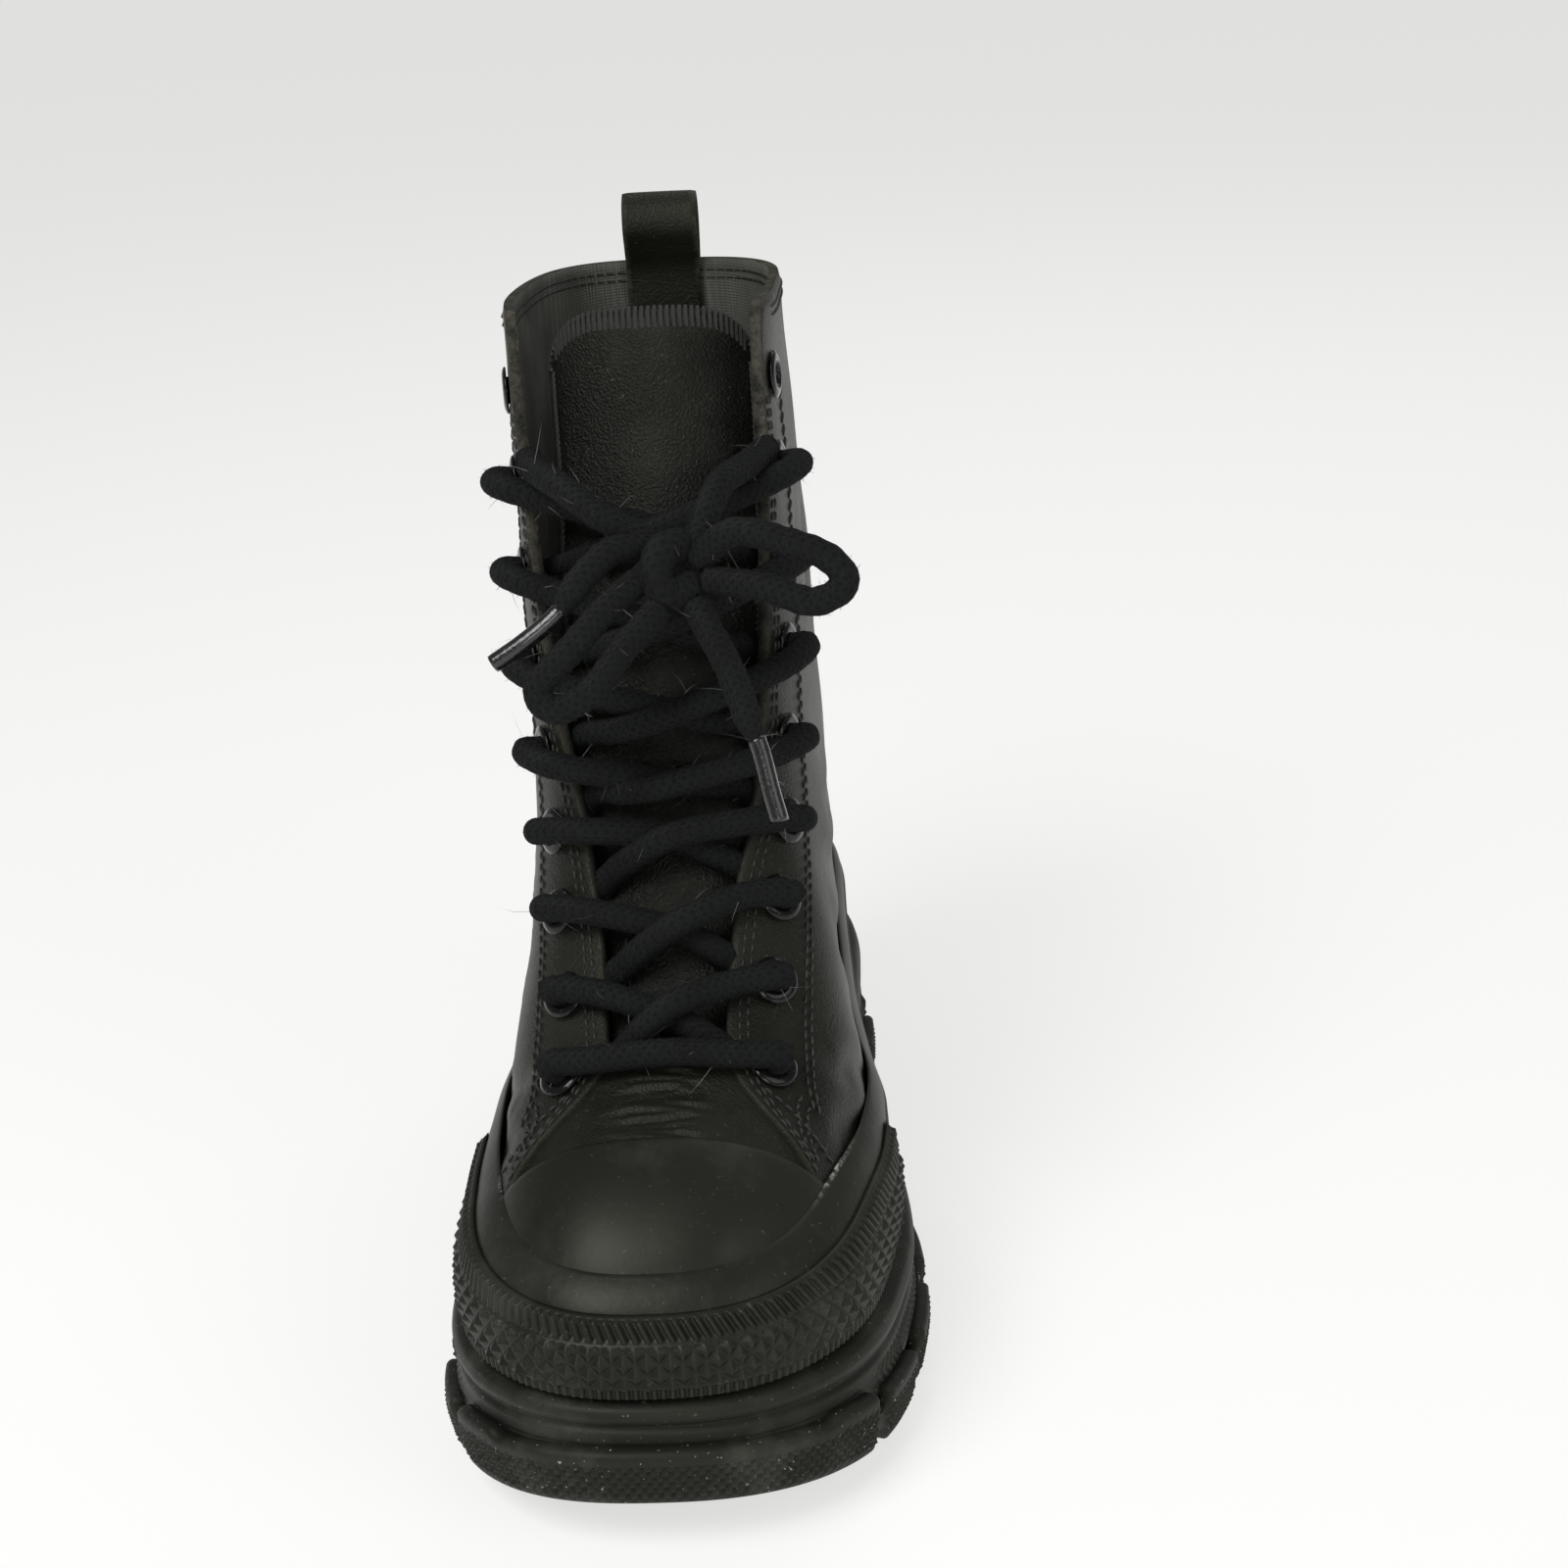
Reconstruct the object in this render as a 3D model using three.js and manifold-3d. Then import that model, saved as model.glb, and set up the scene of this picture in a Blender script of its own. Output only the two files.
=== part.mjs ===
// Platform high-top sneaker, left foot, as an assembly of separate solids.
// Millimetres, +Z up, toe towards -Y, medial side at -X, standing on the floor at Z = 0.
import * as THREE from "three";
import { mergeVertices } from "three/addons/utils/BufferGeometryUtils.js";
import Module from "manifold-3d";

const wasm = await Module();
wasm.setup();

// Driving dimensions of the last, the form that the upper is pulled over
const TOE_Y = -133;
const HEEL_Y = 130;
const BALL_WIDTH = 90;
const TOE_TURN_Y = -84;
const HEEL_TURN_Y = 85;
const PLAN_POWER = 2.5;
const TOE_POWER = 2.3;
const HEEL_POWER = 2.2;
const CROWN_POWER = 2.0;
const LEG_POWER = 3.0;
const BLEND = 14;
const UNDERSIDE = 0;

// Layers of the upper, as distances outwards from the last
const VAMP_INSIDE = -2.2;
const QUARTER_INSIDE = -1.6;
const QUARTER_OUTSIDE = 1.4;
const GAP = 0.3;
const CAP_INSIDE = 0.55;
const CAP_OUTSIDE = 1.9;
const FOXING_THICK = 2.9;
const BUMPER_THICK = 2.3;
const INSOLE_THICK = 3.5;

// Sole
const TOE_SPRING = 19;
const SPRING_START_Y = -68;
const HEEL_BEVEL = 5;
const BEVEL_START_Y = 116;
const ARCH_LIFT = 4;
const ARCH_MIDDLE_Y = 30;
const ARCH_HALF_LENGTH = 34;
const TREAD_FLOOR = 6;
const LUG_PROUD = 2.6;
const NOTCH_HEIGHT = 5;
const RIM_LOW = 9.5;
const RIM_HIGH = 15.5;

// Lacing
const EYELET_ROWS = 9;
const EYELET_PITCH = 23.1;
const EYELET_FIRST_S = 0.66;
const EYELET_INSET = 10.5;
const EYELET_FLANGE_R = 6;
const EYELET_BARREL_R = 3.9;
const EYELET_HOLE_R = 2.9;
const LACE_R = 3.5;

// Sections of the foot: half-widths are shares of half the ball width, heights are above the floor.
// "axis" is the middle of the foot in X, "turn" is where the side wall starts to lean in.
const FOOT = [
  { y: -133, axis: -3.0, medial: 0.9, lateral: 0.93, crown: 79, turn: 45 },
  { y: -95, axis: -1.0, medial: 0.97, lateral: 0.98, crown: 83, turn: 45 },
  { y: -62, axis: 2.0, medial: 1.045, lateral: 1.01, crown: 98, turn: 45 },
  { y: -38, axis: 2.5, medial: 1.03, lateral: 0.99, crown: 125, turn: 47 },
  { y: -15, axis: 2.0, medial: 0.97, lateral: 0.92, crown: 150, turn: 50 },
  { y: 30, axis: 1.0, medial: 0.86, lateral: 0.82, crown: 168, turn: 55 },
  { y: 80, axis: 0.0, medial: 0.75, lateral: 0.75, crown: 164, turn: 60 },
  { y: 130, axis: -0.5, medial: 0.74, lateral: 0.74, crown: 150, turn: 62 },
];

// Sections of the leg, level by level
const LEG = [
  { z: 30, front: 20, back: 114, half: 27, axis: 0 },
  { z: 90, front: -14, back: 127, half: 34.5, axis: 0 },
  { z: 130, front: -23, back: 124, half: 36, axis: 0 },
  { z: 160, front: -28, back: 121.5, half: 36, axis: -0.5 },
  { z: 200, front: -22, back: 119, half: 35, axis: -1.5 },
  { z: 240, front: -14, back: 118.5, half: 34, axis: -3 },
  { z: 290, front: -6, back: 119, half: 34, axis: -4 },
];

// Cutting planes from the toe up to the collar: a point inside the foot and the lean of the plane
const SPINE = [
  { s: 0, y: -92, z: 58, lean: 0 },
  { s: 1, y: -60, z: 62, lean: 4 },
  { s: 2, y: -30, z: 68, lean: 13 },
  { s: 3, y: 0, z: 78, lean: 28 },
  { s: 4, y: 26, z: 97, lean: 50 },
  { s: 5, y: 44, z: 124, lean: 70 },
  { s: 6, y: 52, z: 155, lean: 84 },
  { s: 7, y: 54, z: 190, lean: 90 },
  { s: 8, y: 54, z: 232, lean: 90 },
  { s: 9, y: 54, z: 280, lean: 90 },
];

// Half the width between the two quarters, from the tip beside the toe cap up to the collar
const THROAT = [
  { s: -0.06, half: 36.5, shift: 0 },
  { s: 0.12, half: 30, shift: 0 },
  { s: 0.3, half: 22.5, shift: -0.5 },
  { s: 0.5, half: 17, shift: -1 },
  { s: 0.75, half: 14.5, shift: -1.5 },
  { s: 1.2, half: 15, shift: -2.5 },
  { s: 2, half: 17, shift: -2.5 },
  { s: 3, half: 20.5, shift: -1 },
  { s: 5, half: 23, shift: 0 },
  { s: 6, half: 25.5, shift: 0 },
  { s: 7, half: 28, shift: 0 },
  { s: 8, half: 30, shift: 0 },
  { s: 9, half: 31, shift: 0 },
];

// Top line of the footbed, of the rubber foxing, and of the toe bumper
const LEVELS = [
  { y: -145, bed: 41, foxing: 65, bumper: 59.5 },
  { y: -125, bed: 39, foxing: 66, bumper: 60 },
  { y: -92, bed: 36.5, foxing: 68, bumper: 61 },
  { y: -55, bed: 36, foxing: 67, bumper: 60 },
  { y: 20, bed: 41, foxing: 67, bumper: 60 },
  { y: 80, bed: 46, foxing: 72, bumper: 64 },
  { y: 145, bed: 49, foxing: 77, bumper: 69 },
];

// How far the sole stands out beyond the last
const MARGIN = [
  { y: -145, out: 10.5 },
  { y: -110, out: 12.5 },
  { y: -70, out: 13.5 },
  { y: 20, out: 9.5 },
  { y: 80, out: 14 },
  { y: 145, out: 15 },
];

// A smooth curve through the rows of a table that never overshoots them.
function through(rows, at, column) {
  const x = rows.map((row) => row[at]);
  const v = rows.map((row) => row[column]);
  const last = x.length - 1;
  const slope = x.slice(1).map((xi, i) => (v[i + 1] - v[i]) / (xi - x[i]));
  const tangent = x.map((_, i) => {
    if (i === 0) return slope[0];
    if (i === last) return slope[last - 1];
    const before = slope[i - 1];
    const after = slope[i];
    return before * after <= 0 ? 0 : (2 * before * after) / (before + after);
  });
  return (at) => {
    const c = Math.min(Math.max(at, x[0]), x[last]);
    let i = 0;
    while (i < last - 1 && c > x[i + 1]) i += 1;
    const h = x[i + 1] - x[i];
    const t = (c - x[i]) / h;
    const a = v[i] * (1 + 2 * t) * (1 - t) ** 2 + v[i + 1] * t * t * (3 - 2 * t);
    return a + h * (tangent[i] * t * (1 - t) ** 2 + tangent[i + 1] * t * t * (t - 1));
  };
}

const foot = {};
for (const column of ["axis", "medial", "lateral", "crown", "turn"]) {
  foot[column] = through(FOOT, "y", column);
}
const leg = {};
for (const column of ["front", "back", "half", "axis"]) leg[column] = through(LEG, "z", column);
const spine = {};
for (const column of ["y", "z", "lean"]) spine[column] = through(SPINE, "s", column);
const level = {};
for (const column of ["bed", "foxing", "bumper"]) level[column] = through(LEVELS, "y", column);
const throatHalf = through(THROAT, "s", "half");
const throatShift = through(THROAT, "s", "shift");
const soleMargin = through(MARGIN, "y", "out");

const positive = (x) => Math.max(0, x);
const mix = (a, b, t) => a + (b - a) * t;
const smoothStep = (t) => {
  const c = Math.min(1, Math.max(0, t));
  return c * c * (3 - 2 * c);
};

// Plan of the foot at its widest: 1 on the outline, less inside.
function planGauge(x, y) {
  const dx = x - foot.axis(y);
  const half = (BALL_WIDTH / 2) * (dx < 0 ? foot.medial(y) : foot.lateral(y));
  const toe = positive((TOE_TURN_Y - y) / (TOE_TURN_Y - TOE_Y));
  const heel = positive((y - HEEL_TURN_Y) / (HEEL_Y - HEEL_TURN_Y));
  return Math.abs(dx / half) ** PLAN_POWER + toe ** TOE_POWER + heel ** HEEL_POWER;
}

// The last: negative inside, about millimetres near its surface. The foot and the leg are blended.
function lastField(x, y, z) {
  const turn = foot.turn(y);
  const rise = positive((z - turn) / (foot.crown(y) - turn));
  const footScale = BALL_WIDTH / 2;
  const inFoot = ((planGauge(x, y) + rise ** CROWN_POWER) ** (1 / PLAN_POWER) - 1) * footScale;
  const half = leg.half(z);
  const middle = (leg.front(z) + leg.back(z)) / 2;
  const depth = (leg.back(z) - leg.front(z)) / 2;
  const across = Math.abs((x - leg.axis(z)) / half) ** LEG_POWER;
  const along = Math.abs((y - middle) / depth) ** LEG_POWER;
  const inLeg = ((across + along) ** (1 / LEG_POWER) - 1) * half;
  const near = positive(BLEND - Math.abs(inFoot - inLeg)) / BLEND;
  return Math.max(Math.min(inFoot, inLeg) - (near * near * BLEND) / 4, UNDERSIDE - z);
}

function lastNormal(p) {
  const e = 0.05;
  const f = lastField;
  return new THREE.Vector3(
    f(p.x + e, p.y, p.z) - f(p.x - e, p.y, p.z),
    f(p.x, p.y + e, p.z) - f(p.x, p.y - e, p.z),
    f(p.x, p.y, p.z + e) - f(p.x, p.y, p.z - e),
  ).normalize();
}

// First crossing of the last's surface on a ray that starts inside it.
function hitFromInside(start, direction) {
  const at = (r) => start.clone().addScaledVector(direction, r);
  const field = (r) => lastField(...at(r).toArray());
  let near = 0;
  let far = 4;
  while (field(far) < 0) {
    near = far;
    far += 4;
  }
  for (let i = 0; i < 24; i += 1) {
    const middle = (near + far) / 2;
    if (field(middle) < 0) near = middle;
    else far = middle;
  }
  return at(far);
}

// A point on the last. s runs from -1 at the toe tip, through the SPINE rows, to the collar.
// turn is 0 at the top of the foot and grows towards the lateral side, pi is the sole or the heel.
function onLast(s, turn, out = 0) {
  const along = positive(s);
  const toeward = (positive(-s) * Math.PI) / 2;
  const lean = THREE.MathUtils.degToRad(spine.lean(along));
  const start = new THREE.Vector3(0, spine.y(along), spine.z(along));
  start.x = mix(foot.axis(start.y), leg.axis(start.z), smoothStep((along - 3) / 3));
  const up = new THREE.Vector3(0, -Math.sin(lean), Math.cos(lean));
  const toe = new THREE.Vector3(0, -Math.cos(lean), -Math.sin(lean));
  const direction = new THREE.Vector3(Math.sin(turn), 0, 0)
    .addScaledVector(up, Math.cos(turn))
    .multiplyScalar(Math.cos(toeward))
    .addScaledVector(toe, Math.sin(toeward));
  const p = hitFromInside(start, direction);
  return out === 0 ? p : p.addScaledVector(lastNormal(p), out);
}

// Turn at which the section s is that far from the throat's middle, on one side (+1 lateral, -1 medial).
function turnAt(s, side, half) {
  const middle = onLast(s, 0).x + throatShift(s);
  let low = 0;
  let high = Math.PI / 2;
  for (let i = 0; i < 18; i += 1) {
    const turn = (low + high) / 2;
    if (Math.abs(onLast(s, side * turn).x - middle) < half) low = turn;
    else high = turn;
  }
  return side * high;
}

// A ray from the middle line of the foot to its plan outline.
// u is 0 at the toe, grows along the lateral side, is 0.5 at the heel.
function outlineRay(u) {
  const turned = u - Math.floor(u);
  const half = Math.min(turned, 1 - turned);
  const side = turned <= 0.5 ? 1 : -1;
  const toeEnd = 0.12;
  const heelStart = 0.4;
  let y = TOE_TURN_Y;
  let angle = 0;
  if (half < toeEnd) {
    angle = (-Math.PI / 2) * (1 - half / toeEnd);
  } else if (half < heelStart) {
    y = mix(TOE_TURN_Y, HEEL_TURN_Y, (half - toeEnd) / (heelStart - toeEnd));
  } else {
    y = HEEL_TURN_Y;
    angle = ((Math.PI / 2) * (half - heelStart)) / (0.5 - heelStart);
  }
  const direction = new THREE.Vector2(side * Math.cos(angle), Math.sin(angle));
  const start = new THREE.Vector2(foot.axis(y), y);
  let near = 0;
  let far = 90;
  for (let i = 0; i < 30; i += 1) {
    const middle = (near + far) / 2;
    const p = start.clone().addScaledVector(direction, middle);
    if (planGauge(p.x, p.y) < 1) near = middle;
    else far = middle;
  }
  return { start, point: start.clone().addScaledVector(direction, far) };
}

const outlineCache = new Map();
function outline(u) {
  if (!outlineCache.has(u)) {
    const step = 0.004;
    const before = outlineRay(u - step).point;
    const after = outlineRay(u + step).point;
    const normal = new THREE.Vector2(after.y - before.y, before.x - after.x).normalize();
    outlineCache.set(u, { ...outlineRay(u), normal });
  }
  return outlineCache.get(u);
}

// A point beside the plan outline, that far out.
function beside(u, out, z) {
  const { point, normal } = outline(u);
  return new THREE.Vector3(point.x + normal.x * out, point.y + normal.y * out, z);
}

// A point inside the plan outline: share 0 is on the middle line, 1 on the outline.
function within(u, share, heightAt) {
  const { start, point } = outline(u);
  const p = start.clone().lerp(point, share);
  return new THREE.Vector3(p.x, p.y, heightAt(p.y));
}

// How far the last's wall has leaned in from its plan outline at that height.
function wallInset(u, z) {
  const { point, normal } = outline(u);
  let near = 8;
  let far = -45;
  for (let i = 0; i < 26; i += 1) {
    const middle = (near + far) / 2;
    const inside = lastField(point.x + normal.x * middle, point.y + normal.y * middle, z) < 0;
    if (inside) far = middle;
    else near = middle;
  }
  return near;
}

// Mesh building. A grid is points[i][j]; rows run along i.
function weld(positions, index) {
  const geometry = new THREE.BufferGeometry();
  geometry.setAttribute("position", new THREE.BufferAttribute(new Float32Array(positions), 3));
  geometry.setIndex(index);
  const merged = mergeVertices(geometry, 1e-3);
  const kept = [];
  const all = merged.index.array;
  for (let i = 0; i < all.length; i += 3) {
    const [a, b, c] = [all[i], all[i + 1], all[i + 2]];
    if (a !== b && b !== c && a !== c) kept.push(a, b, c);
  }
  return solidFrom(merged.attributes.position.array, kept);
}

function solidFrom(vertices, index) {
  const make = (triVerts) =>
    new wasm.Manifold(
      new wasm.Mesh({
        numProp: 3,
        vertProperties: new Float32Array(vertices),
        triVerts: new Uint32Array(triVerts),
      }),
    );
  const made = make(index);
  if (made.volume() >= 0) return made;
  const flipped = [];
  for (let i = 0; i < index.length; i += 3) flipped.push(index[i], index[i + 2], index[i + 1]);
  return make(flipped);
}

function addQuads(index, rows, columns, base, wraps, reversed) {
  const across = wraps ? columns : columns - 1;
  for (let i = 0; i < rows - 1; i += 1) {
    for (let j = 0; j < across; j += 1) {
      const a = base + i * columns + j;
      const b = base + i * columns + ((j + 1) % columns);
      const c = b + columns;
      const d = a + columns;
      if (reversed) index.push(a, c, b, a, d, c);
      else index.push(a, b, c, a, c, d);
    }
  }
}

// A closed solid between two grids of the same size, joined round their edges.
function shellBetween(outer, inner, wraps) {
  const rows = outer.length;
  const columns = outer[0].length;
  const positions = [...outer.flat(), ...inner.flat()].flatMap((p) => p.toArray());
  const index = [];
  const second = rows * columns;
  addQuads(index, rows, columns, 0, wraps, false);
  addQuads(index, rows, columns, second, wraps, true);
  const join = (a, b) => index.push(a, a + second, b + second, a, b + second, b);
  const across = wraps ? columns : columns - 1;
  for (let j = 0; j < across; j += 1) {
    const next = (j + 1) % columns;
    join(j, next);
    join((rows - 1) * columns + next, (rows - 1) * columns + j);
  }
  if (!wraps) {
    for (let i = 0; i < rows - 1; i += 1) {
      join((i + 1) * columns, i * columns);
      join(i * columns + columns - 1, (i + 1) * columns + columns - 1);
    }
  }
  return weld(positions, index);
}

// A closed solid from rings stacked on each other. The first and last rings close on themselves.
function stackedRings(rings) {
  const columns = rings[0].length;
  const index = [];
  addQuads(index, rings.length, columns, 0, true, false);
  return weld(rings.flat().flatMap((p) => p.toArray()), index);
}

const range = (count) => Array.from({ length: count }, (_, i) => i);
const spread = (from, to, count) => range(count).map((i) => mix(from, to, i / (count - 1)));

const root = new THREE.Group();
const FACET_TOLERANCE = 0.1;
function place(name, solid, colour, roughness, metalness = 0) {
  const mesh = solid.simplify(FACET_TOLERANCE).getMesh();
  const vertices = new Float32Array(mesh.numVert * 3);
  for (let i = 0; i < mesh.numVert; i += 1) {
    const from = i * mesh.numProp;
    vertices.set(mesh.vertProperties.subarray(from, from + 3), i * 3);
  }
  const geometry = new THREE.BufferGeometry();
  geometry.setAttribute("position", new THREE.BufferAttribute(vertices, 3));
  geometry.setIndex(new THREE.BufferAttribute(new Uint32Array(mesh.triVerts), 1));
  geometry.computeVertexNormals();
  const material = new THREE.MeshStandardMaterial({ color: colour, roughness, metalness });
  const piece = new THREE.Mesh(geometry, material);
  piece.name = name;
  root.add(piece);
  return piece;
}

const RUBBER = "#23241f";
const FOAM = "#1f201c";
const LEATHER = "#26261f";
const LINING = "#2b2b26";
const CORD = "#121714";
const METAL = "#1b1c1a";

// Underside of the tread: flat at heel and forefoot, sprung at the toe, bevelled at the heel.
function treadFloor(y) {
  const spring = TOE_SPRING * positive((SPRING_START_Y - y) / (SPRING_START_Y + 145)) ** 1.8;
  const bevel = HEEL_BEVEL * positive((y - BEVEL_START_Y) / (145 - BEVEL_START_Y)) ** 2;
  const arch = positive(1 - ((y - ARCH_MIDDLE_Y) / ARCH_HALF_LENGTH) ** 2);
  return spring + bevel + ARCH_LIFT * arch * arch;
}

// Midsole: side steps from the bottom edge, past the ribbed band and a groove, to the rounded lip.
// "share" runs from the tread to the footbed, "out" is added to the sole's margin.
const MIDSOLE_STEPS = [
  { share: 0, out: -5.5 },
  { share: 0.3, out: -2.6 },
  { share: 0.62, out: -3.2 },
  { share: 0.66, out: -4.6 },
  { share: 0.7, out: -4.6 },
  { share: 0.73, out: -3.0 },
  { share: 0.84, out: -2.2 },
  { share: 0.95, out: -3.4 },
  { share: 1, out: -6.4 },
];
const MIDSOLE_COLUMNS = 40;

function midsoleSolid(grow) {
  const around = range(MIDSOLE_COLUMNS).map((j) => j / MIDSOLE_COLUMNS);
  const under = (y) => treadFloor(y) + TREAD_FLOOR + GAP - grow;
  const side = MIDSOLE_STEPS.map(({ share, out }) =>
    around.map((u) => {
      const { y } = outline(u).point;
      return beside(u, soleMargin(y) + out + grow, mix(under(y), level.bed(y), share));
    }),
  );
  const inner = (share, height) => around.map((u) => within(u, share, height));
  return stackedRings([
    inner(0, under),
    inner(0.7, under),
    ...side,
    inner(0.9, level.bed),
    inner(0, level.bed),
  ]);
}
const midsole = midsoleSolid(0);
place("midsole", midsole, FOAM, 0.75);

// Outsole: a tread plate with a rim whose top line rises at each lug, and notches between the lugs.
const LUGS = 20;
const LUG_PHASES = [-0.38, -0.31, 0.31, 0.38];
const ROUND_PHASES = [-0.38, -0.31, 0, 0.31, 0.38];
const ROUND_LUGS = [0, 1, 2, 8, 9, 10, 11, 12, 18, 19];
const TOE_BLOCK = 0.075;

// 1 on a lug, 0 in the notch beside it. The toe and the heel each have one wide block.
function lugAt(u) {
  const phase = u * LUGS - Math.round(u * LUGS);
  const toeBlock = Math.min(Math.abs(u), 1 - u) < TOE_BLOCK;
  return toeBlock || Math.abs(phase) < 0.345 ? 1 : 0;
}

function outsoleSolid() {
  const phases = (k) => (ROUND_LUGS.includes(k) ? ROUND_PHASES : LUG_PHASES);
  const around = range(LUGS).flatMap((k) => phases(k).map((phase) => (k + phase) / LUGS));
  const steps = [
    { out: (lug) => -2.5 + 2.4 * lug, z: (lug) => NOTCH_HEIGHT * (1 - lug) },
    { out: (lug) => -1.2 + LUG_PROUD * lug, z: (lug) => mix(RIM_LOW - 1, RIM_HIGH - 2.5, lug) },
    { out: (lug) => -2 + 0.7 * LUG_PROUD * lug, z: (lug) => mix(RIM_LOW, RIM_HIGH, lug) },
    { out: () => -7, z: (lug) => mix(RIM_LOW, RIM_HIGH, lug) },
  ];
  const side = steps.map(({ out, z }) =>
    around.map((u) => {
      const lug = lugAt(u);
      const { y } = outline(u).point;
      return beside(u, soleMargin(y) + out(lug), treadFloor(y) + z(lug));
    }),
  );
  const inner = (share, height) => around.map((u) => within(u, share, height));
  const top = (y) => treadFloor(y) + RIM_LOW;
  return stackedRings([
    inner(0, treadFloor),
    inner(0.85, treadFloor),
    ...side,
    inner(0.8, top),
    inner(0, top),
  ]);
}
const outsole = outsoleSolid().subtract(midsoleSolid(GAP));
place("outsole", outsole, RUBBER, 0.85);

// Everything under the feather line, where the sole closes the upper.
function underFeather() {
  const around = range(60).map((j) => j / 60);
  const top = (y) => level.bed(y) + GAP;
  const floor = () => -10;
  const out = (height) => around.map((u) => beside(u, 40, height(outline(u).point.y)));
  return stackedRings([
    around.map((u) => within(u, 0, floor)),
    out(floor),
    out(top),
    around.map((u) => within(u, 1, top)),
    around.map((u) => within(u, 0, top)),
  ]);
}

// Rows of sections used for every layer that follows the last
const TOE_ROWS = [-1, -0.84, -0.68, -0.52, -0.36, -0.2, -0.06];
const FOOT_ROWS = [0.3, 0.75, 1.2, 1.7, 2.2];
const ANKLE_ROWS = [2.8, 3.4, 4, 4.4, 4.8, 5.3, 6];
const SHAFT_ROWS = [6.7, 7.4, 8.2, 9];
const TURNS = 24;

function lastGrid(rows, out) {
  const turn = (s, j) => (s === -1 ? 0 : (j / TURNS) * Math.PI * 2);
  return rows.map((s) => range(TURNS).map((j) => onLast(s, turn(s, j), out)));
}

// The last grown by a distance, as one solid from the toe up past the collar.
function lastSolid(out, rows) {
  const grid = lastGrid(rows, out);
  const end = grid[grid.length - 1];
  const middle = end[0].clone().lerp(end[TURNS / 2], 0.5);
  return stackedRings([...grid, range(TURNS).map(() => middle.clone())]);
}

// Height of the collar, from its front corners down to the heel
const COLLAR_FRONT_Z = 258;
const COLLAR_BACK_Z = 250;
const COLLAR_CORNER = 6;
const collarZ = (y) => mix(COLLAR_FRONT_Z, COLLAR_BACK_Z, Math.min(1, positive((y - 10) / 108)));

// The SPINE row whose level plane is at that height, in the straight part of the shaft.
function rowAtHeight(z) {
  let low = 7;
  let high = 9;
  for (let i = 0; i < 24; i += 1) {
    const middle = (low + high) / 2;
    if (spine.z(middle) < z) low = middle;
    else high = middle;
  }
  return high;
}

// Turn reached from a starting turn after walking a distance along the section.
function walk(s, from, side, distance) {
  const step = 0.01;
  let turn = from;
  let gone = 0;
  let here = onLast(s, turn);
  while (gone < distance) {
    turn += side * step;
    const next = onLast(s, turn);
    gone += next.distanceTo(here);
    here = next;
  }
  return turn;
}

// Turns spread evenly along a section, closer together where it bends.
function evenTurns(s, from, to, count) {
  const fine = spread(from, to, 121);
  const points = fine.map((turn) => onLast(s, turn));
  const bendWeight = 25;
  const gone = [0];
  for (let i = 1; i < fine.length; i += 1) {
    const step = points[i].clone().sub(points[i - 1]);
    const before = points[i - 1].clone().sub(points[Math.max(0, i - 2)]);
    const bend = before.lengthSq() > 0 ? step.angleTo(before) : 0;
    gone.push(gone[i - 1] + step.length() + bendWeight * bend);
  }
  return spread(0, gone.at(-1), count).map((goal) => {
    const i = Math.max(1, gone.findIndex((length) => length >= goal - 1e-9));
    return mix(fine[i - 1], fine[i], (goal - gone[i - 1]) / (gone[i] - gone[i - 1]));
  });
}

const edgeTurn = (s, side, margin) => turnAt(s, side, throatHalf(s) - margin);

// Quarters: one piece from the lateral throat edge, round the heel, to the medial throat edge.
const QUARTER_ROWS = [-0.06, 0.12, 0.3, 0.5, 0.75, 1.2, 1.7, 2.2, ...ANKLE_ROWS, 6.7, 7.4, 8.2];
const QUARTER_COLUMNS = 21;

function quarterGrid(out, margin = 0) {
  const edges = [0, 2, COLLAR_CORNER];
  const rowTurns = (s) => {
    const fromEdge = (side) => edges.map((d) => walk(s, edgeTurn(s, side, margin), side, d));
    const lateral = fromEdge(1);
    const medial = fromEdge(-1);
    const middle = evenTurns(s, lateral[2], medial[2] + Math.PI * 2, QUARTER_COLUMNS - 4);
    const back = medial.slice(0, 2).reverse().map((turn) => turn + Math.PI * 2);
    return [...lateral.slice(0, 2), ...middle, ...back];
  };
  const corner = (j) => {
    const from = Math.min(j, QUARTER_COLUMNS - 1 - j);
    const d = edges[Math.min(from, 2)];
    return COLLAR_CORNER - Math.sqrt(COLLAR_CORNER ** 2 - (COLLAR_CORNER - d) ** 2);
  };
  const start = QUARTER_ROWS[0] - margin * 0.03;
  const rows = [start, ...QUARTER_ROWS.slice(1)].map((s) =>
    rowTurns(s).map((turn) => onLast(s, turn, out)),
  );
  const last = QUARTER_ROWS.at(-1);
  const top = rowTurns(last + 0.3).map((turn, j) => {
    const { y } = onLast(last, turn);
    return onLast(rowAtHeight(collarZ(y) - corner(j)), turn, out);
  });
  return [...rows, top];
}

// Vamp: the single layer over the toe, up to the bottom of the throat.
const VAMP_ROWS = [...TOE_ROWS, 0.12, 0.3, 0.5, 0.75];

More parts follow.
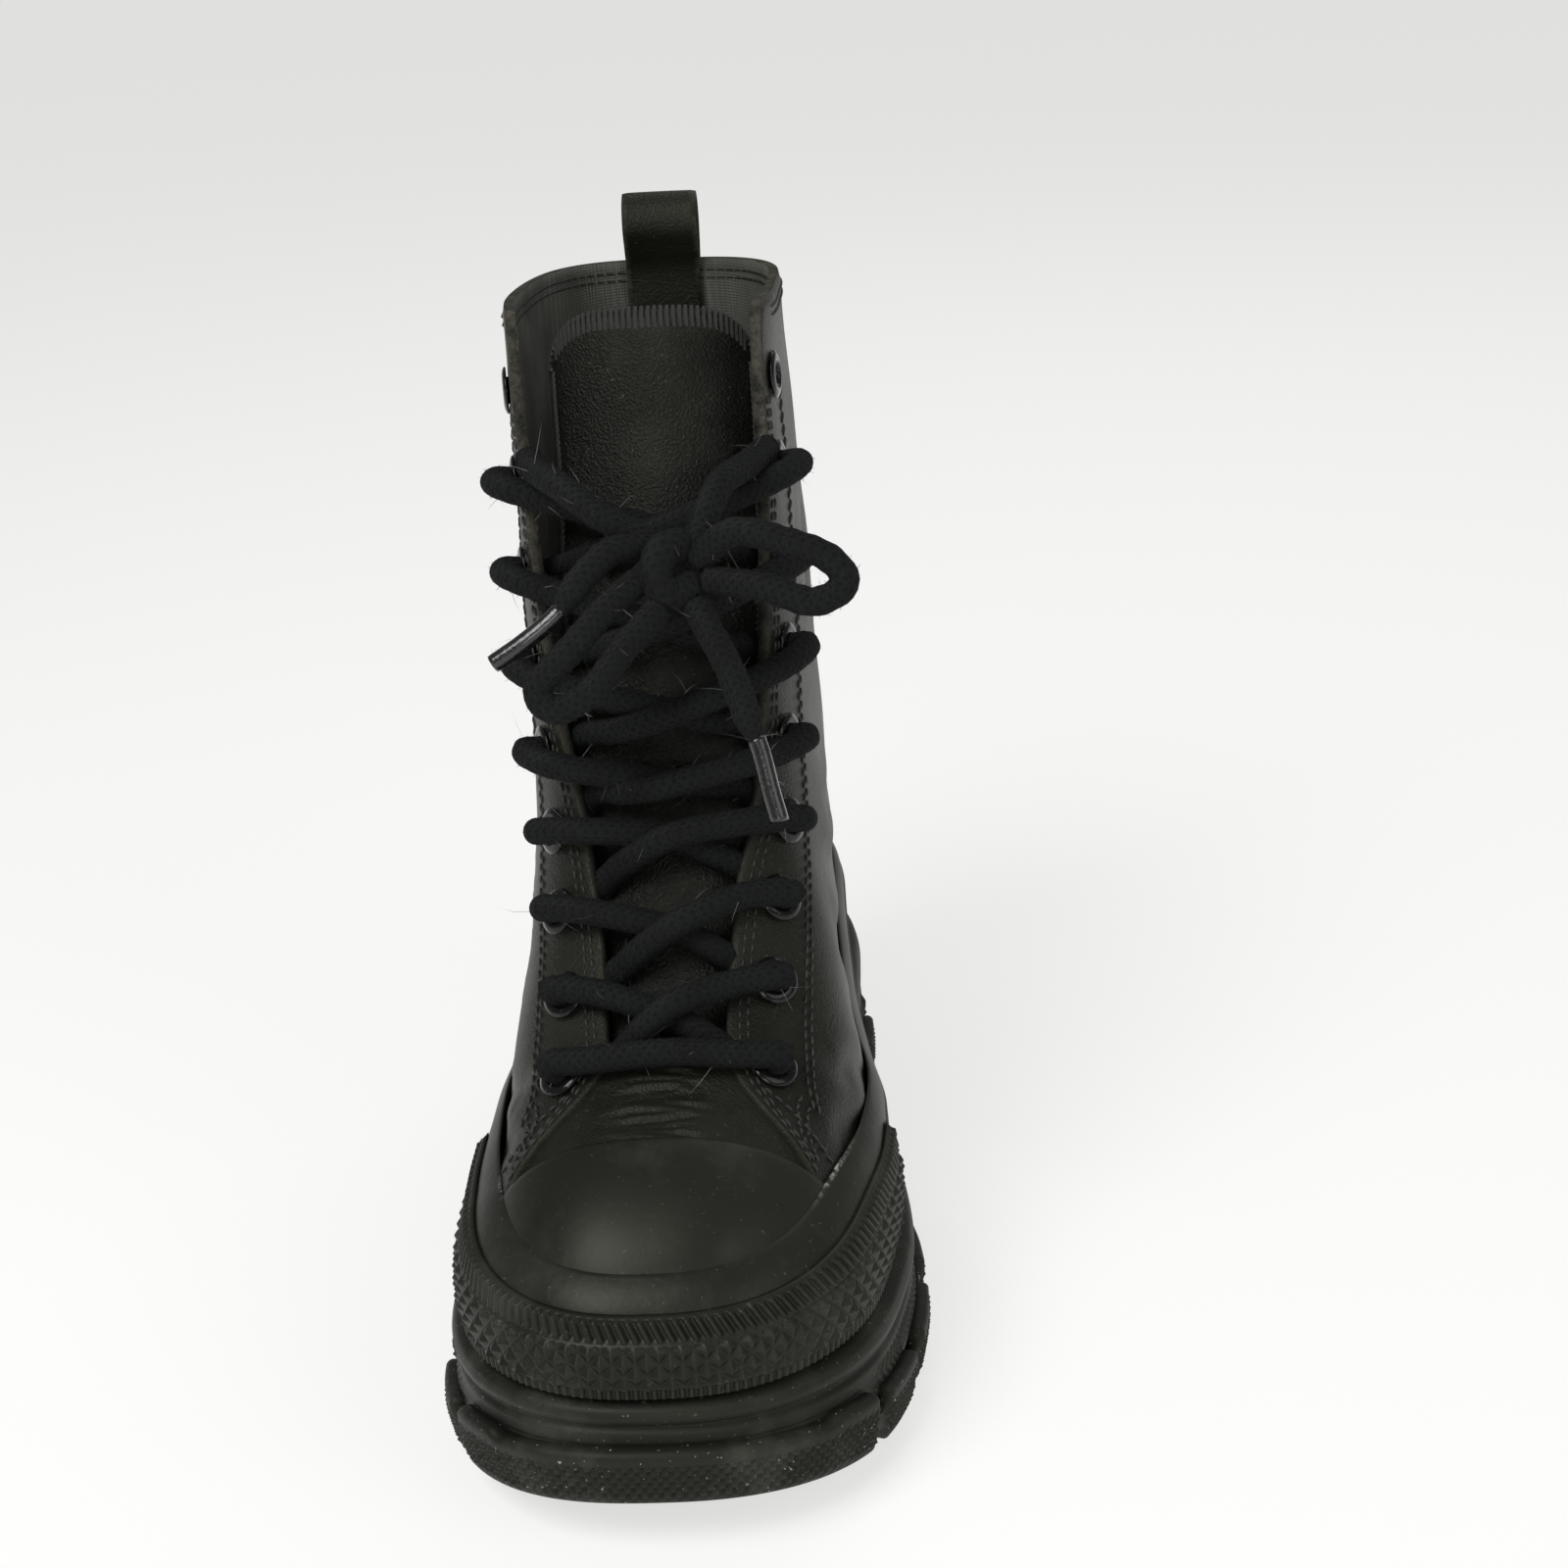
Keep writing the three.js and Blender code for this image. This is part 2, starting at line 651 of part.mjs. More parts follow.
// Eyelets sit on a line inset from each throat edge, at equal steps along it.
function eyeletSeats(side) {
  const seat = (s) => walk(s, edgeTurn(s, side, 0), side, EYELET_INSET);
  const seats = [];
  let s = EYELET_FIRST_S;
  let here = onLast(s, seat(s), QUARTER_OUTSIDE);
  let gone = EYELET_PITCH;
  while (seats.length < EYELET_ROWS) {
    if (gone >= EYELET_PITCH) {
      gone -= EYELET_PITCH;
      seats.push({ s, point: here.clone(), normal: lastNormal(onLast(s, seat(s))) });
    }
    s += 0.02;
    const next = onLast(s, seat(s), QUARTER_OUTSIDE);
    gone += next.distanceTo(here);
    here = next;
  }
  return seats;
}
const seats = { lateral: eyeletSeats(1), medial: eyeletSeats(-1) };

// A geometry whose own +Y is turned to a direction and moved to a point, as a solid.
function standing(geometry, point, direction) {
  const turn = new THREE.Quaternion().setFromUnitVectors(new THREE.Vector3(0, 1, 0), direction);
  const placed = geometry.clone().deleteAttribute("normal").deleteAttribute("uv");
  placed.applyQuaternion(turn).translate(point.x, point.y, point.z);
  const merged = mergeVertices(placed, 1e-3);
  return weld(Array.from(merged.attributes.position.array), Array.from(merged.index.array));
}

const eyeletHole = new THREE.CylinderGeometry(EYELET_BARREL_R + GAP, EYELET_BARREL_R + GAP, 14, 8);
const eyeletRing = new THREE.LatheGeometry(
  [
    new THREE.Vector2(EYELET_HOLE_R, -3.2),
    new THREE.Vector2(EYELET_BARREL_R, 0.45),
    new THREE.Vector2(EYELET_FLANGE_R, 0.45),
    new THREE.Vector2(EYELET_BARREL_R, 1.5),
    new THREE.Vector2(EYELET_HOLE_R, -3.2),
  ],
  8,
);

function upperSolid() {
  const vamp = shellBetween(lastGrid(VAMP_ROWS, 0), lastGrid(VAMP_ROWS, VAMP_INSIDE), true);
  const quarters = shellBetween(quarterGrid(QUARTER_OUTSIDE), quarterGrid(QUARTER_INSIDE), false);
  let made = vamp.add(quarters).subtract(underFeather());
  for (const seat of [...seats.lateral, ...seats.medial]) {
    made = made.subtract(standing(eyeletHole, seat.point, seat.normal));
  }
  return made;
}
const upper = upperSolid();
place("upper", upper, LEATHER, 0.5);

for (const [side, list] of Object.entries(seats)) {
  list.forEach(({ point, normal }, i) => {
    place(`eyelet_${side}_${i + 1}`, standing(eyeletRing, point, normal), METAL, 0.35, 0.9);
  });
}

// The quarters with a hair of clearance, to trim what lies against them
const quartersGrown = shellBetween(
  quarterGrid(QUARTER_OUTSIDE + GAP, GAP),
  quarterGrid(QUARTER_INSIDE, GAP),
  false,
);

// Foxing: the smooth rubber band that wraps the bottom of the upper.
const FOXING_INSIDE = QUARTER_OUTSIDE + 1.2;
const FOXING_OUTSIDE = FOXING_INSIDE + FOXING_THICK;
const WALL_COLUMNS = 40;
const ALL_ROWS = [...TOE_ROWS, ...FOOT_ROWS, ...ANKLE_ROWS, ...SHAFT_ROWS];

// A point beside the last's wall, that far out, at a share of the way between two heights.
function besideWall(u, out, low, high, share) {
  const { y } = outline(u).point;
  const z = mix(low(y), high(y), share);
  return beside(u, wallInset(u, z) + out, z);
}

function foxingSolid() {
  const around = range(WALL_COLUMNS).map((j) => j / WALL_COLUMNS);
  const low = (y) => level.bed(y) + GAP;
  const ring = (share, out) => around.map((u) => besideWall(u, out, low, level.foxing, share));
  const shares = [0, 0.5, 0.93, 1];
  const outer = shares.map((share) => ring(share, share === 1 ? FOXING_OUTSIDE - 1 : FOXING_OUTSIDE));
  const inner = shares.map((share) => ring(share, 0));
  return shellBetween(outer, inner, true)
    .subtract(lastSolid(FOXING_INSIDE, ALL_ROWS))
    .subtract(quartersGrown);
}
place("foxing", foxingSolid(), RUBBER, 0.6);

// Toe bumper: a ribbed strip round the toe, on the foxing, ending at the ball on both sides.
const BUMPER_COLUMNS = 7;
const BUMPER_STEPS = [
  { share: 0, out: 0.6 },
  { share: 0.16, out: 0.8 },
  { share: 0.2, out: 1 },
  { share: 0.46, out: 1 },
  { share: 0.7, out: 1 },
  { share: 0.74, out: 0.7 },
  { share: 1, out: 0.5 },
];

function bumperSolid() {
  const around = range(2 * BUMPER_COLUMNS + 1).map((j) => (j - BUMPER_COLUMNS) / WALL_COLUMNS);
  const low = (y) => level.bed(y) + 0.8;
  const face = (out) => (row) =>
    around.map((u) => besideWall(u, out(row.out), low, level.bumper, row.share));
  const inside = FOXING_OUTSIDE + 0.5;
  const outer = BUMPER_STEPS.map(face((share) => inside + BUMPER_THICK * share));
  const inner = BUMPER_STEPS.map(face(() => inside));
  return shellBetween(outer, inner, false);
}
place("toe_bumper", bumperSolid(), RUBBER, 0.7);

// Insole: a flat board on the footbed, inside the upper.
const INSOLE_INSET = 5;

function insoleSolid() {
  const around = range(32).map((j) => j / 32);
  const low = (y) => level.bed(y) + GAP;
  const high = (y) => level.bed(y) + GAP + INSOLE_THICK;
  const edge = (height) => around.map((u) => beside(u, -INSOLE_INSET, height(outline(u).point.y)));
  const middle = (height) => around.map((u) => within(u, 0, height));
  return stackedRings([middle(low), edge(low), edge(high), middle(high)]);
}
place("insole", insoleSolid(), LINING, 0.9);

// Toe cap: a rubber shell over the front of the vamp, tucked under the foxing.
const CAP_HALF_TURNS = 8;
const CAP_MIDDLE_S = -0.1;
const CAP_CORNER_S = 0;

function capGrid(out) {
  const reach = 1.38;
  return spread(0, 1, 6).map((share) =>
    spread(-reach, reach, 2 * CAP_HALF_TURNS + 1).map((turn) => {
      const bow = 1 - (turn / reach) ** 2;
      return onLast(mix(-0.93, mix(CAP_CORNER_S, CAP_MIDDLE_S, bow), share), turn, out);
    }),
  );
}
const toeCap = shellBetween(capGrid(CAP_OUTSIDE), capGrid(CAP_INSIDE), false).subtract(quartersGrown);
place("toe_cap", toeCap, RUBBER, 0.45);

// Tongue: a padded leaf behind the throat. "drop" is how far it lies inside the last's front line.
const TONGUE = [
  { s: 0.6, drop: 2.6, half: 16, sag: 4, shift: 0 },
  { s: 2, drop: 4, half: 20, sag: 6, shift: 0 },
  { s: 3, drop: 5.5, half: 23, sag: 8, shift: 0 },
  { s: 5, drop: 8, half: 25, sag: 9, shift: 0 },
  { s: 6, drop: 11, half: 25.5, sag: 9, shift: 0.5 },
  { s: 7, drop: 17, half: 26, sag: 9, shift: 1.5 },
  { s: 8, drop: 24, half: 26, sag: 10, shift: 3 },
  { s: 9, drop: 30, half: 26, sag: 10, shift: 3 },
];
const TONGUE_THICK = 3;
const TONGUE_TOP_Z = 260;
const tongue = {};
for (const column of ["drop", "half", "sag", "shift"]) tongue[column] = through(TONGUE, "s", column);

function onTongue(s, across, out) {
  const front = onLast(s, 0);
  const normal = lastNormal(front);
  const depth = -tongue.drop(s) - tongue.sag(s) * across * across + out;
  const x = tongue.shift(s) + tongue.half(s) * across;
  return front.addScaledVector(normal, depth).add(new THREE.Vector3(x, 0, 0));
}

function tongueSolid() {
  const rows = [0.6, 0.95, 1.4, 1.9, 2.5, 3, 3.6, 4.4, 5.2, 6, 6.7, 7.4, 8];
  const top = rowAtHeight(TONGUE_TOP_Z);
  const round = (across) => 0.3 * (1 - Math.sqrt(1 - across ** 4));
  const grid = (out) =>
    [...rows, top].map((s) =>
      spread(-1, 1, 7).map((across) => onTongue(s === top ? top - round(across) : s, across, out)),
    );
  return shellBetween(grid(0), grid(-TONGUE_THICK), false);
}
place("tongue", tongueSolid(), LEATHER, 0.5);

// Heel pull loop: one strip folded over the collar, from outside the heel to inside it.
const LOOP_WIDTH = 21;
const LOOP_HALF_THICK = 0.8;
const LOOP_PATH = [
  { back: 1.25, z: 228 },
  { back: 1.25, z: 249 },
  { back: 3.4, z: 255 },
  { back: 4.2, z: 261 },
  { back: 1.8, z: 266.5 },
  { back: -2.6, z: 268.5 },
  { back: -7, z: 266 },
  { back: -9, z: 260 },
  { back: -7, z: 254 },
  { back: -4.8, z: 248 },
  { back: -4.8, z: 236 },
];

// Back of the heel at a height: how far it reaches in Y on the line at X, outside the quarters.
function heelLine(x, z) {
  const at = Math.min(z, COLLAR_BACK_Z);
  const depth = (leg.back(at) - leg.front(at)) / 2;
  const across = Math.abs((x - leg.axis(at)) / leg.half(at)) ** LEG_POWER;
  const middle = (leg.front(at) + leg.back(at)) / 2;
  return middle + depth * (1 - across) ** (1 / LEG_POWER) + QUARTER_OUTSIDE;
}

function loopSolid() {
  const middle = leg.axis(COLLAR_BACK_Z);
  const face = (out) =>
    LOOP_PATH.map(({ back, z }, i) => {
      const before = LOOP_PATH[Math.max(0, i - 1)];
      const after = LOOP_PATH[Math.min(LOOP_PATH.length - 1, i + 1)];
      const along = new THREE.Vector2(after.back - before.back, after.z - before.z).normalize();
      return spread(-LOOP_WIDTH / 2, LOOP_WIDTH / 2, 3).map((across) => {
        const x = middle + across;
        const y = heelLine(x, z) + back - along.y * out;
        return new THREE.Vector3(x, y, z + along.x * out);
      });
    });
  return shellBetween(face(LOOP_HALF_THICK), face(-LOOP_HALF_THICK), false);
}
place("pull_loop", loopSolid(), LEATHER, 0.6);

// Laces. A cord is a round section swept along a curve, closed at both ends.
const LACE_SIDES = 8;
const LACE_LIFT = LACE_R + 2.9;
const OVERPASS = 2 * LACE_R - 0.6;

function cordSolid(points, radius, steps, closed = false) {
  const path = new THREE.CatmullRomCurve3(points, closed, "centripetal");
  const round = new THREE.Shape();
  range(LACE_SIDES).forEach((i) => {
    const turn = ((i + 0.5) / LACE_SIDES) * Math.PI * 2;
    const corner = [radius * Math.cos(turn), radius * Math.sin(turn)];
    if (i === 0) round.moveTo(...corner);
    else round.lineTo(...corner);
  });
  round.closePath();
  const swept = new THREE.ExtrudeGeometry(round, { steps, extrudePath: path, bevelEnabled: false });
  swept.deleteAttribute("normal").deleteAttribute("uv");
  const merged = mergeVertices(swept, 1e-3);
  return weld(Array.from(merged.attributes.position.array), Array.from(merged.index.array));
}

// A point in front of the tongue's middle, at a height between two eyelet rows.
function beforeTongue(s, lift) {
  const p = onTongue(s, 0, 0);
  return p.addScaledVector(lastNormal(onLast(s, 0)), lift);
}

// Over the throat edge beside an eyelet, on the way to the middle.
function overEdge(seat, side, lift, back = 0) {
  const turn = walk(seat.s - back, edgeTurn(seat.s - back, side, 0), side, 1);
  const p = onLast(seat.s - back, turn);
  return p.clone().addScaledVector(lastNormal(p), QUARTER_OUTSIDE + lift);
}

const aboveEyelet = (seat) => seat.point.clone().addScaledVector(seat.normal, LACE_LIFT);

function laceBar() {
  const [right, left] = [seats.lateral[0], seats.medial[0]];
  const s = (right.s + left.s) / 2;
  const front = onLast(s, 0);
  const middle = front.addScaledVector(lastNormal(front), LACE_R + 1);
  const over = [overEdge(left, -1, LACE_R + 0.7), overEdge(right, 1, LACE_R + 0.7)];
  return cordSolid([aboveEyelet(left), over[0], middle, over[1], aboveEyelet(right)], LACE_R, 7);
}
place("lace_bar_1", laceBar(), CORD, 0.95);

// One strand of a crossing: from over its eyelet to just short of the other flap's edge, one row down.
const HIDDEN_SHARE = 0.42;
function strand(row, side, lift) {
  const near = (side > 0 ? seats.lateral : seats.medial)[row];
  const far = (side > 0 ? seats.medial : seats.lateral)[row - 1];
  const s = mix(far.s, near.s, 0.5);
  const middle = beforeTongue(s, LACE_R + 0.7 + lift);
  const tail = onTongue(mix(far.s, near.s, 0.34), -side * HIDDEN_SHARE, LACE_R + 0.9);
  return cordSolid([aboveEyelet(near), overEdge(near, side, LACE_R + 2.4, 0.06), middle, tail], LACE_R, 5);
}
for (const row of range(EYELET_ROWS - 2).map((i) => i + 1)) {
  const crossing = strand(row, 1, OVERPASS).add(strand(row, -1, 0));
  place(`lace_cross_${row + 1}`, crossing.subtract(quartersGrown), CORD, 0.95);
}

// Bow: the free end of the lace, along hand-chosen points in front of the throat.
const BOW = {
  bow_loop_right: [
    [13, -36, 206],
    [22, -42, 214],
    [34, -46, 212.5],
    [45, -48, 208],
    [48, -48.5, 202.5],
    [41, -48, 198],
    [29, -45, 201],
    [15, -38.5, 201.5],
  ],
  bow_loop_left: [
    [1, -37.5, 203.5],
    [-8, -46.5, 198.5],
    [-18, -54, 189.5],
    [-25.5, -57, 181.5],
    [-22, -58, 177],
    [-13.5, -56, 180],
    [-4.5, -50, 189.5],
    [3.5, -43, 196.5],
  ],
  lace_end_left: [
    [0.5, -33.5, 208.5],
    [-7, -38, 209.5],
    [-14, -44, 205],
    [-20, -48.5, 198],
  ],
  lace_end_right: [
    [12, -41, 196],
    [15.5, -47, 191],
    [20, -52, 183],
    [24, -57, 172],
    [26.4, -60, 166],
  ],
};
const BOW_KNOT = [
  [10.5, -32.5, 208.5],
  [5, -38, 209],
  [3, -41.5, 204],
  [5.5, -41.5, 199.5],
  [11.5, -37.5, 200],
];
const AGLETS = {
  aglet_left: [[-20.6, -48.9, 197.4], [-28, -51, 192], [-37, -52, 186.5]],
  aglet_right: [[26.6, -60.3, 165], [28.6, -64, 157], [30.7, -67.5, 149.5]],
};
const AGLET_R = 2.2;
const vectors = (points) => points.map((p) => new THREE.Vector3(...p));

function freeCord(name, solid, colour, roughness) {
  place(name, solid, colour, roughness).userData.cord = true;
}
const knot = cordSolid(vectors(BOW_KNOT), LACE_R + 0.8, 6);
const knotSpace = cordSolid(vectors(BOW_KNOT), LACE_R + 0.8 + GAP, 6);
freeCord("bow_knot", knot, CORD, 0.95);
for (const [name, points] of Object.entries(BOW)) {
  freeCord(name, cordSolid(vectors(points), LACE_R, Math.round(1.6 * points.length)).subtract(knotSpace), CORD, 0.95);
}
for (const [name, points] of Object.entries(AGLETS)) {
  freeCord(name, cordSolid(vectors(points), AGLET_R, 2), CORD, 0.4);
}

// The part's origin is under the middle of the shoe, on the floor. The free bow is not counted.
const extent = new THREE.Box3();
for (const piece of root.children) {
  if (!piece.userData.cord) extent.expandByObject(piece, true);
}
const centre = extent.getCenter(new THREE.Vector3());
root.position.set(-centre.x, -centre.y, -extent.min.z);

export default root;
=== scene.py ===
import math
import bmesh
import bpy
import numpy as np
from mathutils import Matrix, Vector


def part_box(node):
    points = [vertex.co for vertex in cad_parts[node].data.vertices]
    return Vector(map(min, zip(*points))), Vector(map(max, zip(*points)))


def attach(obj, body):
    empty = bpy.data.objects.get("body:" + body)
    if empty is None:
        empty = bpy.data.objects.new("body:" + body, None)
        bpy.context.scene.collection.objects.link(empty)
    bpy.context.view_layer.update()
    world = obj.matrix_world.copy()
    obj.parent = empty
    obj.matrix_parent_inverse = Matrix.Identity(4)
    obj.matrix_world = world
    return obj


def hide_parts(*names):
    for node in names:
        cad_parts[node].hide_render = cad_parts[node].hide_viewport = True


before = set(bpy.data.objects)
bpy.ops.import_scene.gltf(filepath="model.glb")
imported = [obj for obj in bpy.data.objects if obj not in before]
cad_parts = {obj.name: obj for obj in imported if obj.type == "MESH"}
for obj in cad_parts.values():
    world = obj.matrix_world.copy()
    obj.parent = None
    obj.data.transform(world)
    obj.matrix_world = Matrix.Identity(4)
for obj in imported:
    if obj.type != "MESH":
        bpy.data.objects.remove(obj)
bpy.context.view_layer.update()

# Camera: close to the toe, above it and a little to the outer side, tilted a few degrees.
# Sizes in this file are millimetres on the last; SHIFT brings them to the part's own origin.
SHIFT = np.array([-1.1086, -0.2909, 0.0])
CAMERA_AT = np.array([57.7, -619.6, 382.0])
CAMERA_TURN = math.radians(-2.67)
CAMERA_DOWN = math.radians(21.89)
CAMERA_ROLL = math.radians(-3.11)
MM = 0.001


def metres(points):
    return (np.asarray(points, float) + SHIFT) * MM


ahead = Vector((
    math.sin(CAMERA_TURN) * math.cos(CAMERA_DOWN),
    math.cos(CAMERA_TURN) * math.cos(CAMERA_DOWN),
    -math.sin(CAMERA_DOWN),
))
level = Vector((math.cos(CAMERA_TURN), -math.sin(CAMERA_TURN), 0))
right = math.cos(CAMERA_ROLL) * level + math.sin(CAMERA_ROLL) * level.cross(ahead)
upward = right.cross(ahead)
camera = bpy.data.objects.new("camera", bpy.data.cameras.new("camera"))
turned = Matrix((right, upward, -ahead)).transposed().to_4x4()
camera.matrix_world = Matrix.Translation(Vector(metres(CAMERA_AT))) @ turned
camera.data.sensor_width = 36
camera.data.lens = 58.5
bpy.context.scene.collection.objects.link(camera)
bpy.context.scene.camera = camera


# The last: the foot form that the upper is pulled over and the sole is drawn round.
# Sections along the foot, levels up the leg, and planes from toe to collar, all in millimetres.
FOOT = np.array([
    # y, axis, medial, lateral, crown, turn
    (-133, -3.0, 0.90, 0.93, 79, 45),
    (-95, -1.0, 0.97, 0.98, 83, 45),
    (-62, 2.0, 1.045, 1.01, 98, 45),
    (-38, 2.5, 1.03, 0.99, 125, 47),
    (-15, 2.0, 0.97, 0.92, 150, 50),
    (30, 1.0, 0.86, 0.82, 168, 55),
    (80, 0.0, 0.75, 0.75, 164, 60),
    (130, -0.5, 0.74, 0.74, 150, 62),
])
LEG = np.array([
    # z, front, back, half, axis
    (30, 20, 114, 27, 0),
    (90, -14, 127, 34.5, 0),
    (130, -23, 124, 36, 0),
    (160, -28, 121.5, 36, -0.5),
    (200, -22, 119, 35, -1.5),
    (240, -14, 118.5, 34, -3),
    (290, -6, 119, 34, -4),
])
SPINE = np.array([
    # s, y, z, lean
    (0, -92, 58, 0), (1, -60, 62, 4), (2, -30, 68, 13), (3, 0, 78, 28), (4, 26, 97, 50),
    (5, 44, 124, 70), (6, 52, 155, 84), (7, 54, 190, 90), (8, 54, 232, 90), (9, 54, 280, 90),
])
BALL_HALF = 45
TOE_Y, TOE_TURN_Y, TOE_POWER = -133, -84, 2.3
HEEL_Y, HEEL_TURN_Y, HEEL_POWER = 130, 85, 2.2
PLAN_POWER, LEG_POWER, BLEND = 2.5, 3.0, 14


def through(table, column):
    x = table[:, 0]
    v = table[:, column]
    slope = np.diff(v) / np.diff(x)
    tangent = np.concatenate([[slope[0]], np.zeros(len(x) - 2), [slope[-1]]])
    for i in range(1, len(x) - 1):
        if slope[i - 1] * slope[i] > 0:
            tangent[i] = 2 * slope[i - 1] * slope[i] / (slope[i - 1] + slope[i])

    def at(value):
        c = np.clip(value, x[0], x[-1])
        i = np.clip(np.searchsorted(x, c) - 1, 0, len(x) - 2)
        h = x[i + 1] - x[i]
        t = (c - x[i]) / h
        return (
            v[i] * (1 + 2 * t) * (1 - t) ** 2
            + v[i + 1] * t * t * (3 - 2 * t)
            + h * (tangent[i] * t * (1 - t) ** 2 + tangent[i + 1] * t * t * (t - 1))
        )

    return at


foot_axis, foot_medial, foot_lateral, foot_crown, foot_turn = (through(FOOT, k) for k in range(1, 6))
leg_front, leg_back, leg_half, leg_axis = (through(LEG, k) for k in range(1, 5))
spine_y, spine_z, spine_lean = (through(SPINE, k) for k in range(1, 4))


def plan_gauge(x, y):
    dx = x - foot_axis(y)
    half = BALL_HALF * np.where(dx < 0, foot_medial(y), foot_lateral(y))
    toe = np.maximum(0, (TOE_TURN_Y - y) / (TOE_TURN_Y - TOE_Y))
    heel = np.maximum(0, (y - HEEL_TURN_Y) / (HEEL_Y - HEEL_TURN_Y))
    return np.abs(dx / half) ** PLAN_POWER + toe ** TOE_POWER + heel ** HEEL_POWER


def last_field(p):
    x, y, z = p[..., 0], p[..., 1], p[..., 2]
    turn = foot_turn(y)
    rise = np.maximum(0, (z - turn) / (foot_crown(y) - turn))
    in_foot = ((plan_gauge(x, y) + rise ** 2) ** (1 / PLAN_POWER) - 1) * BALL_HALF
    half = leg_half(z)
    middle = (leg_front(z) + leg_back(z)) / 2
    depth = (leg_back(z) - leg_front(z)) / 2
    across = np.abs((x - leg_axis(z)) / half) ** LEG_POWER
    along = np.abs((y - middle) / depth) ** LEG_POWER
    in_leg = ((across + along) ** (1 / LEG_POWER) - 1) * half
    near = np.maximum(0, BLEND - np.abs(in_foot - in_leg)) / BLEND
    return np.maximum(np.minimum(in_foot, in_leg) - near * near * BLEND / 4, -z)


def unit(v):
    return v / np.maximum(np.linalg.norm(v, axis=-1, keepdims=True), 1e-9)


def last_normal(p):
    step = 0.05 * np.eye(3)
    return unit(np.stack([last_field(p + e) - last_field(p - e) for e in step], axis=-1))


def ease(t):
    c = np.clip(t, 0, 1)
    return c * c * (3 - 2 * c)


def on_last(s, turn, out=0.0):
    s, turn = np.broadcast_arrays(np.asarray(s, float), np.asarray(turn, float))
    along = np.maximum(0, s)
    toeward = np.maximum(0, -s) * math.pi / 2
    lean = np.radians(spine_lean(along))
    y, z = spine_y(along), spine_z(along)
    blend = ease((along - 3) / 3)
    start = np.stack([foot_axis(y) * (1 - blend) + leg_axis(z) * blend, y, z], axis=-1)
    zero = np.zeros_like(s)
    up = np.stack([zero, -np.sin(lean), np.cos(lean)], axis=-1)
    toe = np.stack([zero, -np.cos(lean), -np.sin(lean)], axis=-1)
    direction = np.stack([np.sin(turn), zero, zero], axis=-1) + up * np.cos(turn)[..., None]
    direction = direction * np.cos(toeward)[..., None] + toe * np.sin(toeward)[..., None]
    near = zero.copy()
    far = zero + 4
    for _ in range(60):
        inside = last_field(start + direction * far[..., None]) < 0
        if not inside.any():
            break
        near = np.where(inside, far, near)
        far = np.where(inside, far + 4, far)
    for _ in range(16):
        middle = (near + far) / 2
        inside = last_field(start + direction * middle[..., None]) < 0
        near = np.where(inside, middle, near)
        far = np.where(inside, far, middle)
    p = start + direction * far[..., None]
    out = np.asarray(out, float)
    return p + last_normal(p) * out[..., None] if out.ndim or out != 0 else p


# Midsole: moulded foam rubber platform with a rounded lip, a groove and two slanting hatch bands.
# Its plan is the last's outline grown by a margin; the outsole and foxing use the same outline.
MARGIN = np.array([(-145, 10.5), (-110, 12.5), (-70, 13.5), (20, 9.5), (80, 14), (145, 15)])
LEVELS = np.array([
    # y, bed, foxing, bumper
    (-145, 41, 65, 59.5), (-125, 39, 66, 60), (-92, 36.5, 68, 61), (-55, 36, 67, 60),
    (20, 41, 67, 60), (80, 46, 72, 64), (145, 49, 77, 69),
])
sole_margin = through(MARGIN, 1)
bed_z, foxing_z, bumper_z = (through(LEVELS, k) for k in range(1, 4))


def node(tree, kind, **values):
    made = tree.nodes.new(kind)
    for key, value in values.items():
        if key in made.inputs:
            made.inputs[key].default_value = value
        else:
            setattr(made, key, value)
    return made


def new_material(name):
    material = bpy.data.materials.new(name)
    material.use_nodes = True
    tree = material.node_tree
    shader = tree.nodes["Principled BSDF"]
    return material, tree, shader


def new_group(name, inputs, outputs):
    tree = bpy.data.node_groups.new(name, "ShaderNodeTree")
    for label, value in inputs.items():
        socket = tree.interface.new_socket(name=label, in_out="INPUT", socket_type="NodeSocketFloat")
        socket.default_value = value
    for label, kind in outputs.items():
        tree.interface.new_socket(name=label, in_out="OUTPUT", socket_type=kind)
    return tree, tree.nodes.new("NodeGroupInput"), tree.nodes.new("NodeGroupOutput")


def use_group(tree, group, **values):
    made = tree.nodes.new("ShaderNodeGroup")
    made.node_tree = group
    for key, value in values.items():
        made.inputs[key.replace("_", " ")].default_value = value
    return made


def math_node(tree, operation, a, b):
    made = tree.nodes.new("ShaderNodeMath")
    made.operation = operation
    for socket, value in zip(made.inputs, (a, b)):
        if isinstance(value, (int, float)):
            socket.default_value = value
        else:
            tree.links.new(value, socket)
    return made.outputs[0]


def mix_colour(tree, share, a, b):
    made = tree.nodes.new("ShaderNodeMix")
    made.data_type = "RGBA"
    for socket, value in ((made.inputs[0], share), (made.inputs[6], a), (made.inputs[7], b)):
        if isinstance(value, (int, float)):
            socket.default_value = value
        elif isinstance(value, tuple):
            socket.default_value = (*value, 1)
        else:
            tree.links.new(value, socket)
    return made.outputs[2]


def ramp(tree, value, low, high):
    made = tree.nodes.new("ShaderNodeMapRange")
    made.inputs[1].default_value = low
    made.inputs[2].default_value = high
    tree.links.new(value, made.inputs[0])
    return made.outputs[0]


def noise(tree, scale, detail=3, rough=0.5):
    place = tree.nodes.new("ShaderNodeTexCoord")
    made = node(tree, "ShaderNodeTexNoise", Scale=scale, Detail=detail, Roughness=rough)
    tree.links.new(place.outputs["Object"], made.inputs["Vector"])
    return made.outputs["Fac"]


